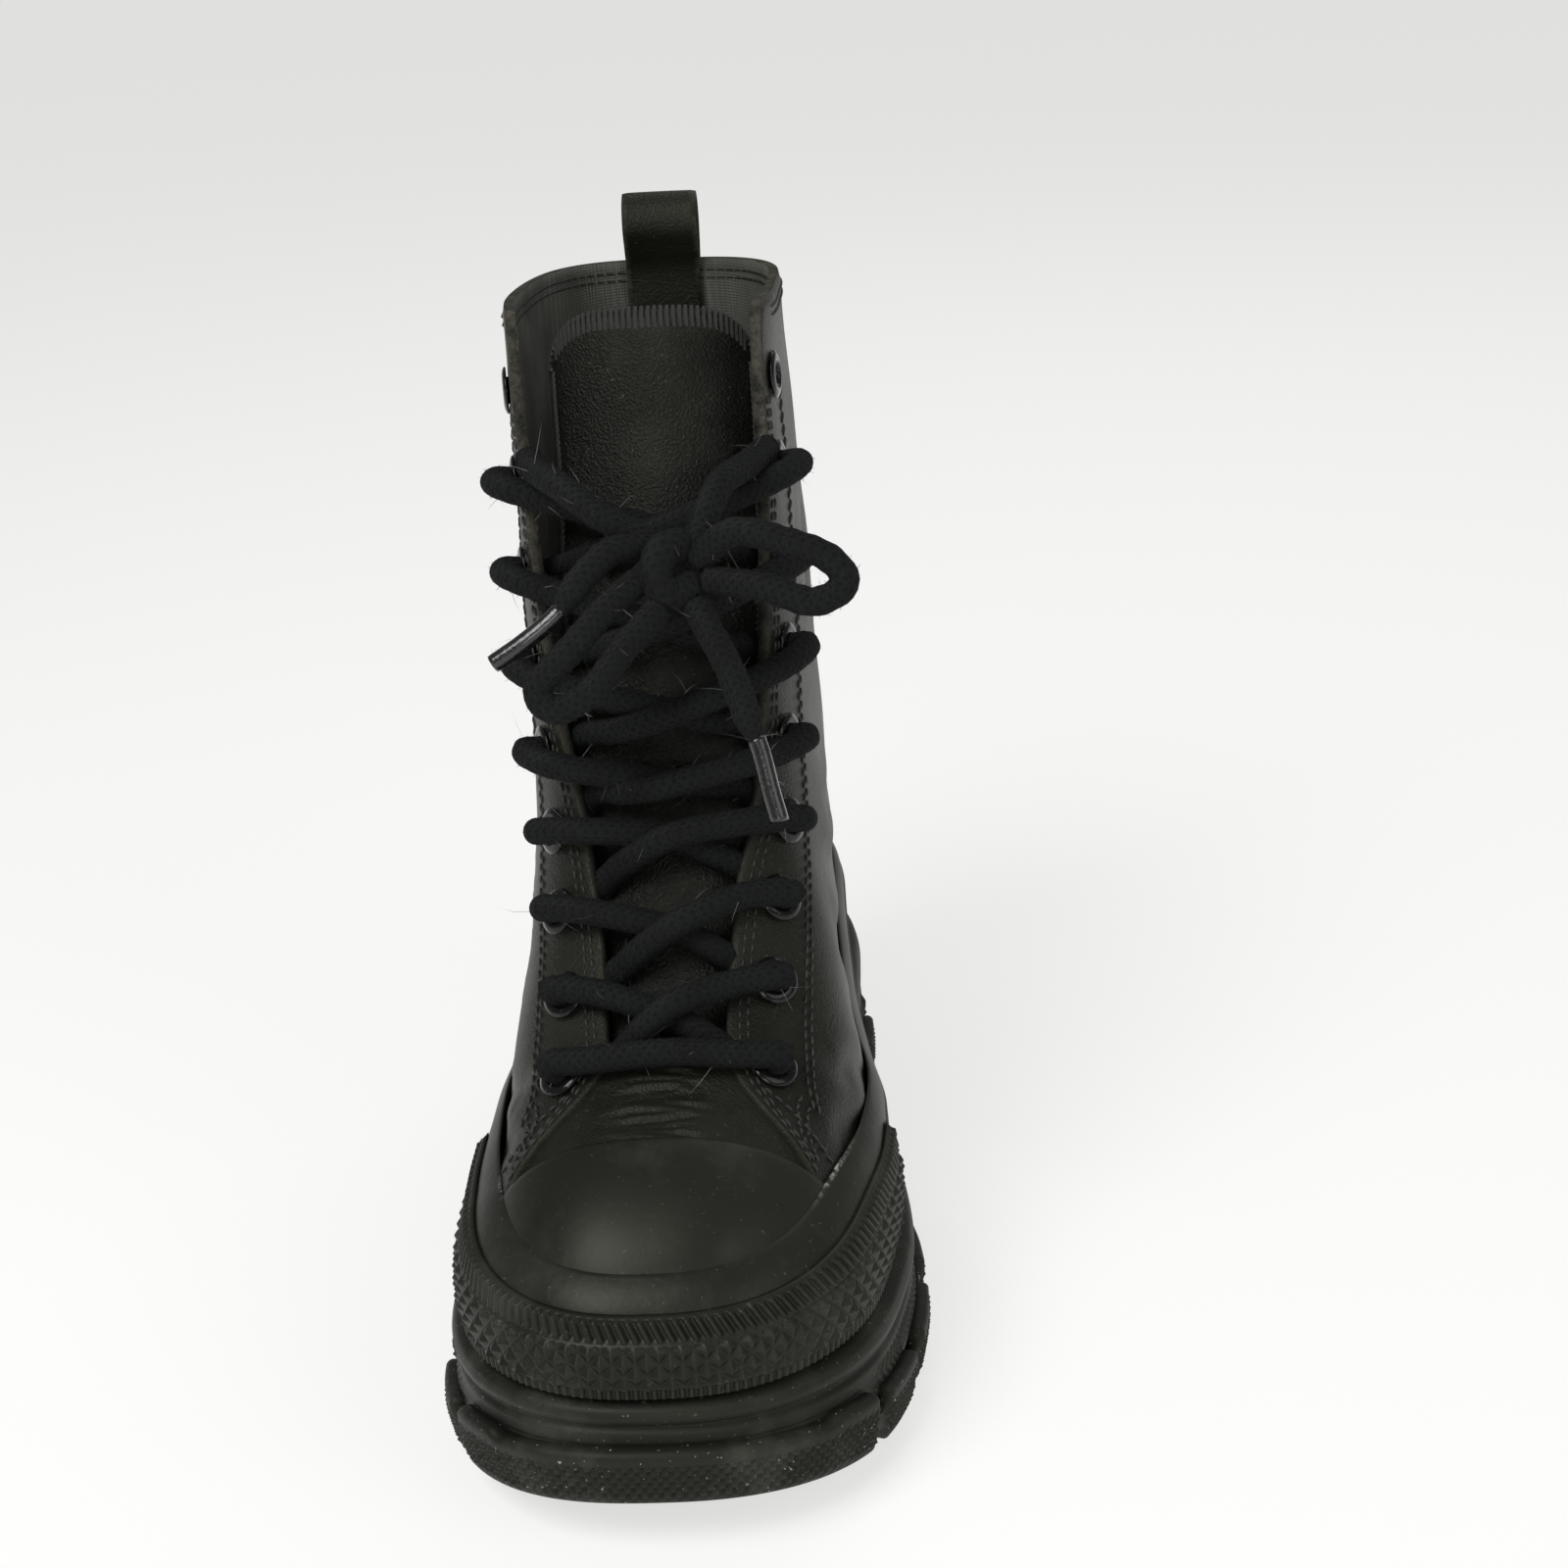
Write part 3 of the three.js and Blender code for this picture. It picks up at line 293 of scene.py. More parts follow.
def bump(tree, shader, height, distance, strength=1.0):
    made = node(tree, "ShaderNodeBump", Distance=distance, Strength=strength)
    tree.links.new(height, made.inputs["Height"])
    tree.links.new(made.outputs["Normal"], shader.inputs["Normal"])


def show(name, points, faces, materials, uv=None, face_material=None, smooth=True, marks=None, slot=None):
    mesh = bpy.data.meshes.new(name)
    mesh.from_pydata(metres(points).tolist(), [], faces if isinstance(faces, list) else faces.tolist())
    for material in materials:
        mesh.materials.append(material)
    if uv is not None:
        layer = mesh.uv_layers.new(name="UVMap")
        corner = np.empty(len(mesh.loops), dtype=np.int32)
        mesh.loops.foreach_get("vertex_index", corner)
        layer.data.foreach_set("uv", np.asarray(uv, np.float32)[corner].ravel())
    if face_material is not None:
        mesh.polygons.foreach_set("material_index", np.asarray(face_material, np.int32))
    for label, values in (marks or {}).items():
        mesh.attributes.new(label, "FLOAT", "POINT").data.foreach_set("value", np.asarray(values, np.float32))
    mesh.polygons.foreach_set("use_smooth", np.full(len(mesh.polygons), smooth))
    mesh.update()
    made = bpy.data.objects.new(name, mesh)
    bpy.context.scene.collection.objects.link(made)
    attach(made, "root")
    return made


def grid_faces(rows, columns, wraps=False, base=0, turned=False):
    j = np.arange(columns if wraps else columns - 1)
    i = np.arange(rows - 1)[:, None]
    a = base + i * columns + j
    b = base + i * columns + (j + 1) % columns
    quads = np.stack([a, b, b + columns, a + columns], axis=-1).reshape(-1, 4)
    return quads[:, ::-1] if turned else quads


def outline_ray(u):
    turned_u = u - np.floor(u)
    half = np.minimum(turned_u, 1 - turned_u)
    side = np.where(turned_u <= 0.5, 1, -1)
    toe_end, heel_start = 0.12, 0.4
    mid = TOE_TURN_Y + (HEEL_TURN_Y - TOE_TURN_Y) * np.clip((half - toe_end) / (heel_start - toe_end), 0, 1)
    angle = np.where(half < toe_end, -math.pi / 2 * (1 - half / toe_end), 0)
    angle = np.where(half > heel_start, math.pi / 2 * (half - heel_start) / (0.5 - heel_start), angle)
    direction = np.stack([side * np.cos(angle), np.sin(angle)], axis=-1)
    start = np.stack([foot_axis(mid), mid], axis=-1)
    near = np.zeros_like(mid)
    far = np.full_like(mid, 90.0)
    for _ in range(30):
        middle = (near + far) / 2
        p = start + direction * middle[..., None]
        inside = plan_gauge(p[..., 0], p[..., 1]) < 1
        near = np.where(inside, middle, near)
        far = np.where(inside, far, middle)
    return start, start + direction * far[..., None]


class Outline:
    def __init__(self, u):
        self.u = u
        self.start, self.point = outline_ray(u)
        step = 0.004
        chord = outline_ray(u + step)[1] - outline_ray(u - step)[1]
        self.normal = unit(np.stack([chord[:, 1], -chord[:, 0]], axis=-1))
        self.y = self.point[:, 1]
        hop = np.linalg.norm(np.diff(self.point, axis=0, append=self.point[:1]), axis=1)
        self.length = np.concatenate([[0], np.cumsum(hop)[:-1]])

    def beside(self, out, z):
        xy = self.point + self.normal * np.asarray(out)[..., None]
        return np.concatenate([xy, np.broadcast_to(z, len(xy))[:, None]], axis=1)

    def within(self, share, height):
        xy = self.start + (self.point - self.start) * share
        return np.concatenate([xy, height(xy[:, 1])[:, None]], axis=1)

    def wall_inset(self, z):
        near = np.full(len(self.u), 8.0)
        far = np.full(len(self.u), -45.0)
        for _ in range(24):
            middle = (near + far) / 2
            inside = last_field(self.beside(middle, z)) < 0
            far = np.where(inside, middle, far)
            near = np.where(inside, near, middle)
        return near


TOE_SPRING, SPRING_START_Y, SPRING_LENGTH = 19, -68, 77
HEEL_BEVEL, BEVEL_START_Y, BEVEL_LENGTH = 5, 116, 29
ARCH_LIFT, ARCH_MIDDLE_Y, ARCH_HALF_LENGTH = 4, 30, 34


def tread_floor(y):
    spring = TOE_SPRING * np.maximum(0, (SPRING_START_Y - y) / SPRING_LENGTH) ** 1.8
    bevel = HEEL_BEVEL * np.maximum(0, (y - BEVEL_START_Y) / BEVEL_LENGTH) ** 2
    arch = np.maximum(0, 1 - ((y - ARCH_MIDDLE_Y) / ARCH_HALF_LENGTH) ** 2)
    return spring + bevel + ARCH_LIFT * arch * arch


def stack_rings(name, rings, material, marks=None, **rest):
    columns = len(rings[0])
    points = np.concatenate(rings)
    return show(name, points, grid_faces(len(rings), columns, True), [material], marks=marks, **rest)


def dust_group():
    tree, given, out = new_group(
        "dust_and_scuffs", {"Dust": 0.3, "Fleck": 0.0},
        {"Dust": "NodeSocketFloat", "Fleck": "NodeSocketFloat", "Patch": "NodeSocketFloat"},
    )
    cloud = ramp(tree, noise(tree, 38, 6, 0.65), 0.48, 0.78)
    speck = ramp(tree, noise(tree, 900, 2, 0.6), 0.69, 0.73)
    tree.links.new(math_node(tree, "MULTIPLY", cloud, given.outputs["Dust"]), out.inputs["Dust"])
    tree.links.new(math_node(tree, "MULTIPLY", speck, given.outputs["Fleck"]), out.inputs["Fleck"])
    tree.links.new(ramp(tree, noise(tree, 14, 4), 0.3, 0.7), out.inputs["Patch"])
    return tree


dust_and_scuffs = dust_group()


def rubber_material(name, dark, light, rough, dust, fleck, pebble):
    material, tree, shader = new_material(name)
    marks = use_group(tree, dust_and_scuffs, Dust=dust, Fleck=fleck)
    tone = mix_colour(tree, marks.outputs["Patch"], dark, light)
    tone = mix_colour(tree, marks.outputs["Dust"], tone, (0.085, 0.083, 0.074))
    glue = node(tree, "ShaderNodeAttribute", attribute_name="glue")
    crumbs = ramp(tree, noise(tree, 420, 4, 0.7), 0.44, 0.56)
    tone = mix_colour(tree, math_node(tree, "MULTIPLY", glue.outputs["Fac"], crumbs), tone, (0.5, 0.49, 0.44))
    tone = mix_colour(tree, marks.outputs["Fleck"], tone, (0.42, 0.42, 0.39))
    tree.links.new(tone, shader.inputs["Base Color"])
    gloss = math_node(tree, "MULTIPLY_ADD", marks.outputs["Patch"], 0.14)
    gloss.node.inputs[2].default_value = rough
    tree.links.new(gloss, shader.inputs["Roughness"])
    shader.inputs["Specular IOR Level"].default_value = 0.21
    shader.inputs["Specular Tint"].default_value = (1, 1, 0.86, 1)
    bump(tree, shader, noise(tree, pebble, 3), 0.00025, 0.3)
    return material


midsole_rubber = rubber_material(
    "midsole_rubber", (0.0085, 0.009, 0.0068), (0.016, 0.0168, 0.0125), 0.45, 0.5, 0.25, 900)
MIDSOLE_STEPS = np.array([
    (0, -5.5), (0.3, -2.6), (0.62, -3.2), (0.66, -4.6), (0.7, -4.6), (0.73, -3.0), (0.84, -2.2),
    (0.95, -3.4), (1, -6.4),
])
HATCH_PITCH, HATCH_DEEP, HATCH_SLANT = 3.0, 0.45, 26
HATCH_LOW, HATCH_MIDDLE, HATCH_HIGH, HATCH_START = 0.34, 0.46, 0.58, 0.075
TREAD_THICK = 6.3
OUTLINE_GROWN = 1.12


def midsole_bottom(y):
    return tread_floor(y) + TREAD_THICK


def build_midsole():
    edge = Outline(np.arange(900) / 900)
    under = midsole_bottom(edge.y)
    bed = bed_z(edge.y)
    shares = np.linspace(0, 1, 64)
    steps = np.interp(shares, MIDSOLE_STEPS[:, 0], MIDSOLE_STEPS[:, 1])
    kernel = np.array([0.15, 0.2, 0.3, 0.2, 0.15])
    steps[2:-2] = np.convolve(steps, kernel, "valid")
    rings = [edge.within(share, midsole_bottom) for share in (0, 0.7)]
    length = edge.length * OUTLINE_GROWN
    for share, out in zip(shares, steps):
        z = under + (bed - under) * share
        hatch = 0
        if HATCH_LOW < share < HATCH_HIGH:
            slant = HATCH_SLANT if share < HATCH_MIDDLE else -HATCH_SLANT
            wave = np.sin((length + slant * share) * 2 * math.pi / HATCH_PITCH)
            parted = ease(abs(share - HATCH_MIDDLE) / 0.012)
            fade = ease(min(share - HATCH_LOW, HATCH_HIGH - share) / 0.03) * parted
            fade = fade * ease((np.minimum(edge.u, 1 - edge.u) - HATCH_START) / 0.02)
            hatch = HATCH_DEEP * wave * fade - 0.2 * (1 - parted)
        rings.append(edge.beside(sole_margin(edge.y) + out + hatch, z))
    rings += [edge.within(0.9, bed_z), edge.within(0, bed_z)]
    made = stack_rings("midsole_platform", rings, midsole_rubber, slot="midsole")
    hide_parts("midsole")


build_midsole()


# Outsole: black rubber tread with a wide toe block, notched lugs, a wavy top edge and pebbled faces.
# It is cupped round the bottom of the midsole and cemented to it.
outsole_rubber = rubber_material(
    "outsole_rubber", (0.0085, 0.009, 0.0068), (0.016, 0.0166, 0.0128), 0.5, 0.6, 0.8, 700)
LUGS, TOE_BLOCK, TOE_BLOCK_SHOULDER, SHOULDER_RISE = 20, 0.075, 0.05, 1.6
PEBBLE_PITCH, PEBBLE_DEEP = 2.6, 0.4
RIM_LOW, RIM_HIGH, NOTCH_HEIGHT = 9.5, 15.5, 5.0


def build_outsole():
    edge = Outline(np.arange(1500) / 1500)
    u = edge.u
    phase = np.abs(u * LUGS - np.round(u * LUGS))
    lug = 1 - ease((phase - 0.315) / 0.06)
    from_toe = np.minimum(u, 1 - u)
    toe_block = 1 - ease((from_toe - TOE_BLOCK + 0.002) / 0.004)
    lug = np.maximum(lug, toe_block)
    floor = tread_floor(edge.y)
    margin = sole_margin(edge.y)
    rim = RIM_LOW + (RIM_HIGH - RIM_LOW) * lug
    rim += SHOULDER_RISE * toe_block * ease((from_toe - TOE_BLOCK_SHOULDER) / 0.006)
    around = edge.length * 1.13 * 2 * math.pi / PEBBLE_PITCH
    rings = [edge.within(0, tread_floor), edge.within(0.85, tread_floor)]
    low = NOTCH_HEIGHT * (1 - lug)
    for share in np.concatenate([[0, 0.03], np.linspace(0.07, 0.86, 22), [0.92, 0.97, 1.0]]):
        z = low + (rim - low) * share
        out = np.interp(share, [0, 0.03, 0.07, 0.8, 0.92, 0.97, 1], [-1.2, -0.4, 0, 2.1, 2.1, 1.5, 0.6])
        pebble = np.cos(around + z * 1.9) + np.cos(around - z * 1.9)
        band = ease((share - 0.08) / 0.08) * ease((0.8 - share) / 0.08)
        out = out * lug - 1.2 + PEBBLE_DEEP * pebble * band * lug
        rings.append(edge.beside(margin + out, floor + z))
    rings.append(edge.beside(margin - 3.6, floor + rim - 0.2))
    rings.append(edge.beside(margin - 5.5, floor + RIM_LOW - 4))
    rings.append(edge.within(0, lambda y: tread_floor(y) + RIM_LOW - 4))
    made = stack_rings("outsole_tread", rings, outsole_rubber, slot="outsole")
    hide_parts("outsole")


build_outsole()


# Insole: a board covered in dark grey cloth, lying on the footbed inside the upper.
# Its edge is rounded, and the same woven cloth lines the upper and the tongue.
def cloth_material(name, dark, light, thread):
    material, tree, shader = new_material(name)
    place = tree.nodes.new("ShaderNodeTexCoord")
    waves = []
    for direction in ("X", "Y", "Z"):
        wave = node(tree, "ShaderNodeTexWave", Scale=thread, Distortion=1.5, bands_direction=direction)
        tree.links.new(place.outputs["Object"], wave.inputs["Vector"])
        waves.append(wave.outputs["Fac"])
    weave = math_node(tree, "ADD", math_node(tree, "ADD", waves[0], waves[1]), waves[2])
    worn = math_node(tree, "MULTIPLY", ramp(tree, noise(tree, 60, 4), 0.35, 0.7), ramp(tree, weave, 0.6, 2.4))
    tree.links.new(mix_colour(tree, worn, dark, light), shader.inputs["Base Color"])
    shader.inputs["Roughness"].default_value = 0.9
    bump(tree, shader, weave, 0.0003, 0.4)
    return material


lining_cloth = cloth_material("lining_cloth", (0.065, 0.065, 0.055), (0.16, 0.158, 0.137), 380)
INSOLE_INSET, INSOLE_TOP, INSOLE_COLUMNS = 5.0, 3.8, 240


def build_insole():
    edge = Outline(np.arange(INSOLE_COLUMNS) / INSOLE_COLUMNS)
    low = bed_z(edge.y) + 0.3
    rings = [edge.within(0, lambda y: bed_z(y) + 0.3)]
    for grown, lift in ((0, 0), (0.1, 2.6), (-1.0, 3.5)):
        rings.append(edge.beside(np.full(INSOLE_COLUMNS, grown - INSOLE_INSET), low + lift))
    rings += [edge.within(share, lambda y: bed_z(y) + INSOLE_TOP) for share in (0.8, 0.6, 0.4, 0.2, 0)]
    made = stack_rings("insole_board", rings, lining_cloth, slot="insole")
    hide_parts("insole")


build_insole()


# Upper: black grained leather. A vamp over the toe, and quarters that meet behind the heel and leave
# the throat open. The inside is lined with cloth, the cut edges are worn to grey-brown.
def grain_group():
    tree, given, out = new_group(
        "leather_grain", {"Cell": 620.0, "Fine": 2600.0},
        {"Height": "NodeSocketFloat", "Tone": "NodeSocketFloat"},
    )
    place = tree.nodes.new("ShaderNodeTexCoord")
    cells = node(tree, "ShaderNodeTexVoronoi", feature="SMOOTH_F1")
    tree.links.new(place.outputs["Object"], cells.inputs["Vector"])
    tree.links.new(given.outputs["Cell"], cells.inputs["Scale"])
    pores = tree.nodes.new("ShaderNodeTexNoise")
    tree.links.new(place.outputs["Object"], pores.inputs["Vector"])
    tree.links.new(given.outputs["Fine"], pores.inputs["Scale"])
    deep = math_node(tree, "MULTIPLY", pores.outputs["Fac"], 0.35)
    tree.links.new(math_node(tree, "ADD", cells.outputs["Distance"], deep), out.inputs["Height"])
    tree.links.new(ramp(tree, noise(tree, 22, 5, 0.6), 0.32, 0.72), out.inputs["Tone"])
    return tree


leather_grain = grain_group()


def leather_material(name, dark, light, rough, cell, depth):
    material, tree, shader = new_material(name)
    grain = use_group(tree, leather_grain, Cell=cell, Fine=cell * 4)
    marks = use_group(tree, dust_and_scuffs, Dust=0.22, Fleck=0.25)
    wear = node(tree, "ShaderNodeAttribute", attribute_name="wear")
    tone = mix_colour(tree, grain.outputs["Tone"], dark, light)
    tone = mix_colour(tree, marks.outputs["Dust"], tone, (0.05, 0.048, 0.042))
    ragged = ramp(tree, noise(tree, 260, 5, 0.7), 0.38, 0.62)
    rubbed = math_node(tree, "MULTIPLY", wear.outputs["Fac"], ragged)
    tone = mix_colour(tree, rubbed, tone, (0.075, 0.071, 0.058))
    tone = mix_colour(tree, marks.outputs["Fleck"], tone, (0.2, 0.2, 0.18))
    tree.links.new(tone, shader.inputs["Base Color"])
    gloss = math_node(tree, "MULTIPLY_ADD", grain.outputs["Tone"], 0.14)
    gloss.node.inputs[2].default_value = rough
    dull = math_node(tree, "MULTIPLY_ADD", rubbed, 0.35)
    tree.links.new(gloss, dull.node.inputs[2])
    tree.links.new(dull, shader.inputs["Roughness"])
    shader.inputs["Specular IOR Level"].default_value = 0.17
    shader.inputs["Specular Tint"].default_value = (1, 1, 0.86, 1)
    bump(tree, shader, grain.outputs["Height"], depth, 0.5)
    return material


upper_leather = leather_material(
    "upper_leather", (0.0072, 0.0074, 0.0054), (0.0155, 0.016, 0.0118), 0.33, 1500, 0.00045)
cut_edge = leather_material("cut_edge", (0.009, 0.0088, 0.007), (0.02, 0.019, 0.0155), 0.7, 1500, 0.0006)
THROAT = np.array([
    # s, half width, shift
    (-0.06, 36.5, 0), (0.12, 30, 0), (0.3, 22.5, -0.5), (0.5, 17, -1), (0.75, 14.5, -1.5),
    (1.2, 15, -2.5), (2, 17, -2.5), (3, 20.5, -1), (5, 23, 0), (6, 25.5, 0), (7, 28, 0), (8, 30, 0),
    (9, 31, 0),
])
throat_half, throat_shift = through(THROAT, 1), through(THROAT, 2)
QUARTER_OUT, QUARTER_IN, VAMP_IN = 1.4, -1.6, -2.2
COLLAR_FRONT_Z, COLLAR_BACK_Z, COLLAR_CORNER = 258, 250, 6


def edge_turn(s, side):
    middle = on_last(s, np.zeros_like(s))[:, 0] + throat_shift(s)
    low = np.zeros_like(s)
    high = np.full_like(s, math.pi / 2)
    for _ in range(18):
        turn = (low + high) / 2
        inside = np.abs(on_last(s, side * turn)[:, 0] - middle) < throat_half(s)
        low = np.where(inside, turn, low)
        high = np.where(inside, high, turn)
    return side * high


def collar_z(y):
    return COLLAR_FRONT_Z + (COLLAR_BACK_Z - COLLAR_FRONT_Z) * np.clip((y - 10) / 108, 0, 1)


def row_at_height(z):
    s = np.linspace(7, 9, 400)
    return np.interp(z, spine_z(s), s)


# Main creases of the leather: two ends as (s, turn in degrees from the top of the foot,
# positive to the outer side), depth and half-width in millimetres. Fine wrinkles behind the cap follow.
CREASES = [
    ((0.1, -36), (0.0, 14), 0.35, 1.8), ((0.3, -20), (0.36, 27), 0.35, 1.8),
    ((0.3, -70), (1.2, -95), 0.9, 4.5), ((0.35, 72), (1.3, 98), 0.9, 4.5),
    ((0.8, -62), (1.7, -88), 0.7, 3.6), ((0.9, 62), (1.9, 92), 0.8, 4.0),
    ((2.6, -48), (3.6, -112), 1.3, 6.5), ((2.7, 48), (3.7, 115), 1.4, 6.5),
    ((3.3, -44), (4.3, -108), 1.1, 5.5), ((3.4, 44), (4.5, 112), 1.2, 6.0),
    ((4.2, -46), (4.9, -120), 0.8, 5.0), ((4.3, 46), (5.0, 125), 0.9, 5.0),
    ((5.6, 150), (5.4, 210), 1.1, 6.0), ((6.2, 140), (6.0, 215), 0.8, 5.0),
    ((6.3, -60), (7.4, -75), 0.8, 7.0), ((6.1, 60), (7.3, 78), 0.8, 7.0),
]
WRINKLES, WRINKLES_FROM, WRINKLES_TO = 17, -0.05, 0.68
wrinkles = np.random.default_rng(3)
for s_at in np.linspace(WRINKLES_FROM, WRINKLES_TO, WRINKLES):
    reach = np.interp(s_at, [WRINKLES_FROM, WRINKLES_TO], [34, 17])
    tilt = wrinkles.uniform(-0.035, 0.035)
    ends = (-reach * wrinkles.uniform(0.5, 1.1), reach * wrinkles.uniform(0.5, 1.1))
    deep = wrinkles.uniform(0.3, 0.6)
    CREASES.append(((s_at - tilt, ends[0]), (s_at + tilt, ends[1]), deep, wrinkles.uniform(0.75, 1.15)))
crease_lines = []
for begin, finish, deep, wide in CREASES:
    t = np.linspace(0, 1, 25)
    s_line = begin[0] + (finish[0] - begin[0]) * t
    sway = np.radians(begin[1] + (finish[1] - begin[1]) * t + 3 * np.sin(t * 7 + deep * 9))
    crease_lines.append((on_last(s_line, sway), deep, wide))


def crease_depth(points):
    total = np.zeros(len(points))
    for line, deep, wide in crease_lines:
        low = line.min(axis=0) - 3 * wide
        high = line.max(axis=0) + 3 * wide
        near = np.all((points > low) & (points < high), axis=1)
        if not near.any():
            continue
        apart = np.linalg.norm(points[near][:, None] - line[None], axis=2)
        gap = apart.min(axis=1)
        t = apart.argmin(axis=1) / (len(line) - 1)
        fade = ease(t / 0.3) * ease((1 - t) / 0.3)
        trough = np.exp(-((gap / wide) ** 2)) - 0.45 * np.exp(-(((gap - 1.9 * wide) / wide) ** 2))
        total[near] += deep * trough * fade
    return total


def slow_swell(p):
    return 0.35 * np.sin(p[:, 1] * 0.09 + p[:, 2] * 0.05) * np.sin(p[:, 2] * 0.085 - p[:, 0] * 0.06)


def drop_loose(made):
    work = bmesh.new()
    work.from_mesh(made.data)
    bmesh.ops.delete(work, geom=[v for v in work.verts if not v.link_faces], context="VERTS")
    bmesh.ops.recalc_face_normals(work, faces=work.faces)
    work.to_mesh(made.data)
    work.free()


def shell(name, turns_at, s_rows, outer, inner, wraps, wear, skip=None):
    rows, columns = turns_at.shape
    face = on_last(s_rows, turns_at)
    flat = face.reshape(-1, 3)
    normal = last_normal(flat)
    relief = slow_swell(flat) - crease_depth(flat)
    fade = np.ones((rows, columns))
    if not wraps:
        fade[:, :4] = np.array([0, 0.4, 0.8, 1])
        fade[:, -4:] = np.array([1, 0.8, 0.4, 0])
    relief = relief * fade.ravel()
    out = np.full((rows, columns), float(outer))
    if not wraps:
        out[:, [0, -1]] -= 0.5
        out[-1] -= 0.5
        out[:, [1, -2]] -= 0.12
    top = flat + normal * (out.ravel() + relief)[:, None]
    under = flat + normal * (inner + 0.6 * relief)[:, None]
    points = np.concatenate([top, under])
    outer_faces = grid_faces(rows, columns, wraps)
    inner_faces = grid_faces(rows, columns, wraps, rows * columns, True)
    buried = flat[:, 2] < bed_z(flat[:, 1]) - 0.5
    keep = ~buried[outer_faces].all(axis=1)
    if skip is not None:
        centre = top[outer_faces].mean(axis=1)
        keep &= ~skip(centre)
    second = rows * columns
    rim = []

    def join(a, b):
        if not (buried[a] and buried[b]):
            rim.append([a, a + second, b + second, b])

    for j in range(columns if wraps else columns - 1):
        k = (j + 1) % columns
        join(j, k)
        join((rows - 1) * columns + k, (rows - 1) * columns + j)
    if not wraps:
        for i in range(rows - 1):
            join((i + 1) * columns, i * columns)
            join(i * columns + columns - 1, (i + 1) * columns + columns - 1)
    faces = np.concatenate([outer_faces[keep][:, ::-1], inner_faces[keep][:, ::-1], np.array(rim)[:, ::-1]])
    which = np.concatenate([np.zeros(keep.sum()), np.ones(keep.sum()), np.full(len(rim), 2)])
    points[:, 2] = np.maximum(points[:, 2], np.tile(bed_z(flat[:, 1]) + 0.3, 2))
    made = show(name, points, faces, [upper_leather, lining_cloth, cut_edge], face_material=which,
                marks={"wear": np.tile(wear.ravel(), 2)}, slot="upper")
    drop_loose(made)
    return made


EYELET_HOLE = 3.7
seats = {}
for side in ("lateral", "medial"):
    seats[side] = []
    for row in range(1, 10):
        corners = [np.array(c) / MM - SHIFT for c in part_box(f"eyelet_{side}_{row}")]
        centre = (corners[0] + corners[1]) / 2
        facing = last_normal(centre[None])[0]
        seats[side].append((centre + facing * 0.85, facing))
all_seats = seats["lateral"] + seats["medial"]


def in_eyelet_hole(points):
    hit = np.zeros(len(points), bool)
    for spot, facing in all_seats:
        off = points - spot
        flat = off - (off @ facing)[:, None] * facing
        hit |= (np.linalg.norm(flat, axis=1) < EYELET_HOLE) & (np.linalg.norm(off, axis=1) < 9)
    return hit


def build_vamp():
    s_rows = np.concatenate([np.linspace(-0.999, -0.2, 40), np.linspace(-0.19, 0.75, 130)])
    around = np.linspace(0, 2 * math.pi, 168, endpoint=False)
    turns_at = np.broadcast_to(around, (len(s_rows), len(around)))
    made = shell("upper_vamp", turns_at, s_rows[:, None], 0.0, VAMP_IN, True, np.zeros(turns_at.shape))
    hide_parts("upper")


quarter_s = np.concatenate([
    np.linspace(-0.06, 1, 46), np.linspace(1.03, 6, 130), np.linspace(6.05, 8.5, 52),
])
quarter_edges = {1: edge_turn(quarter_s, 1), -1: edge_turn(quarter_s, -1)}
fine = np.linspace(0, 1, 240)
fine_turns = quarter_edges[1][:, None] + (quarter_edges[-1] + 2 * math.pi - quarter_edges[1])[:, None] * fine
fine_points = on_last(quarter_s[:, None], fine_turns)
hops = np.linalg.norm(np.diff(fine_points, axis=1), axis=2)
quarter_arc = np.concatenate([np.zeros((len(quarter_s), 1)), np.cumsum(hops, axis=1)], axis=1)


def quarter_turn(row, distance, side):
    arc = quarter_arc[row]
    goal = distance if side > 0 else arc[-1] - distance
    return np.interp(goal, arc, fine_turns[row])


EDGE_INSETS = np.array([0, 0.5, 1.1, 2.0])


def build_quarters():
    columns = 176
    turns_at = np.empty((len(quarter_s), columns))
    wear = np.zeros((len(quarter_s), columns))
    for i in range(len(quarter_s)):
        length = quarter_arc[i, -1]
        middle = np.linspace(3.2, length - 3.2, columns - 2 * len(EDGE_INSETS))
        goal = np.concatenate([EDGE_INSETS, middle, length - EDGE_INSETS[::-1]])
        turns_at[i] = np.interp(goal, quarter_arc[i], fine_turns[i])
        from_edge = np.minimum(goal, length - goal)
        wear[i] = np.exp(-from_edge / 1.2) * np.interp(quarter_s[i], [0, 5, 7, 8], [0.15, 0.2, 0.6, 0.9])
    heel_y = on_last(np.full(columns, 8.2), turns_at[-1])[:, 1]
    from_edge = np.minimum(np.arange(columns), columns - 1 - np.arange(columns))
    inset = np.interp(from_edge, [0, 1, 2, 3, 4, 6], [*EDGE_INSETS, 3.2, 6.0])
    corner = COLLAR_CORNER - np.sqrt(COLLAR_CORNER ** 2 - np.clip(COLLAR_CORNER - inset, 0, None) ** 2)
    s_top = row_at_height(collar_z(heel_y) - corner)
    share = np.clip((quarter_s - 6) / (quarter_s[-1] - 6), 0, 1)[:, None]
    s_rows = np.where(share > 0, 6 + (s_top[None] - 6) * share, quarter_s[:, None])
    below = spine_z(np.broadcast_to(s_top, s_rows.shape)) - spine_z(s_rows)
    wear = np.maximum(wear, np.exp(-np.maximum(below, 0) / 2.2) * (s_rows > 6))
    shell("upper_quarters", turns_at, s_rows, QUARTER_OUT, QUARTER_IN, False, wear, skip=in_eyelet_hole)
    return s_top, turns_at


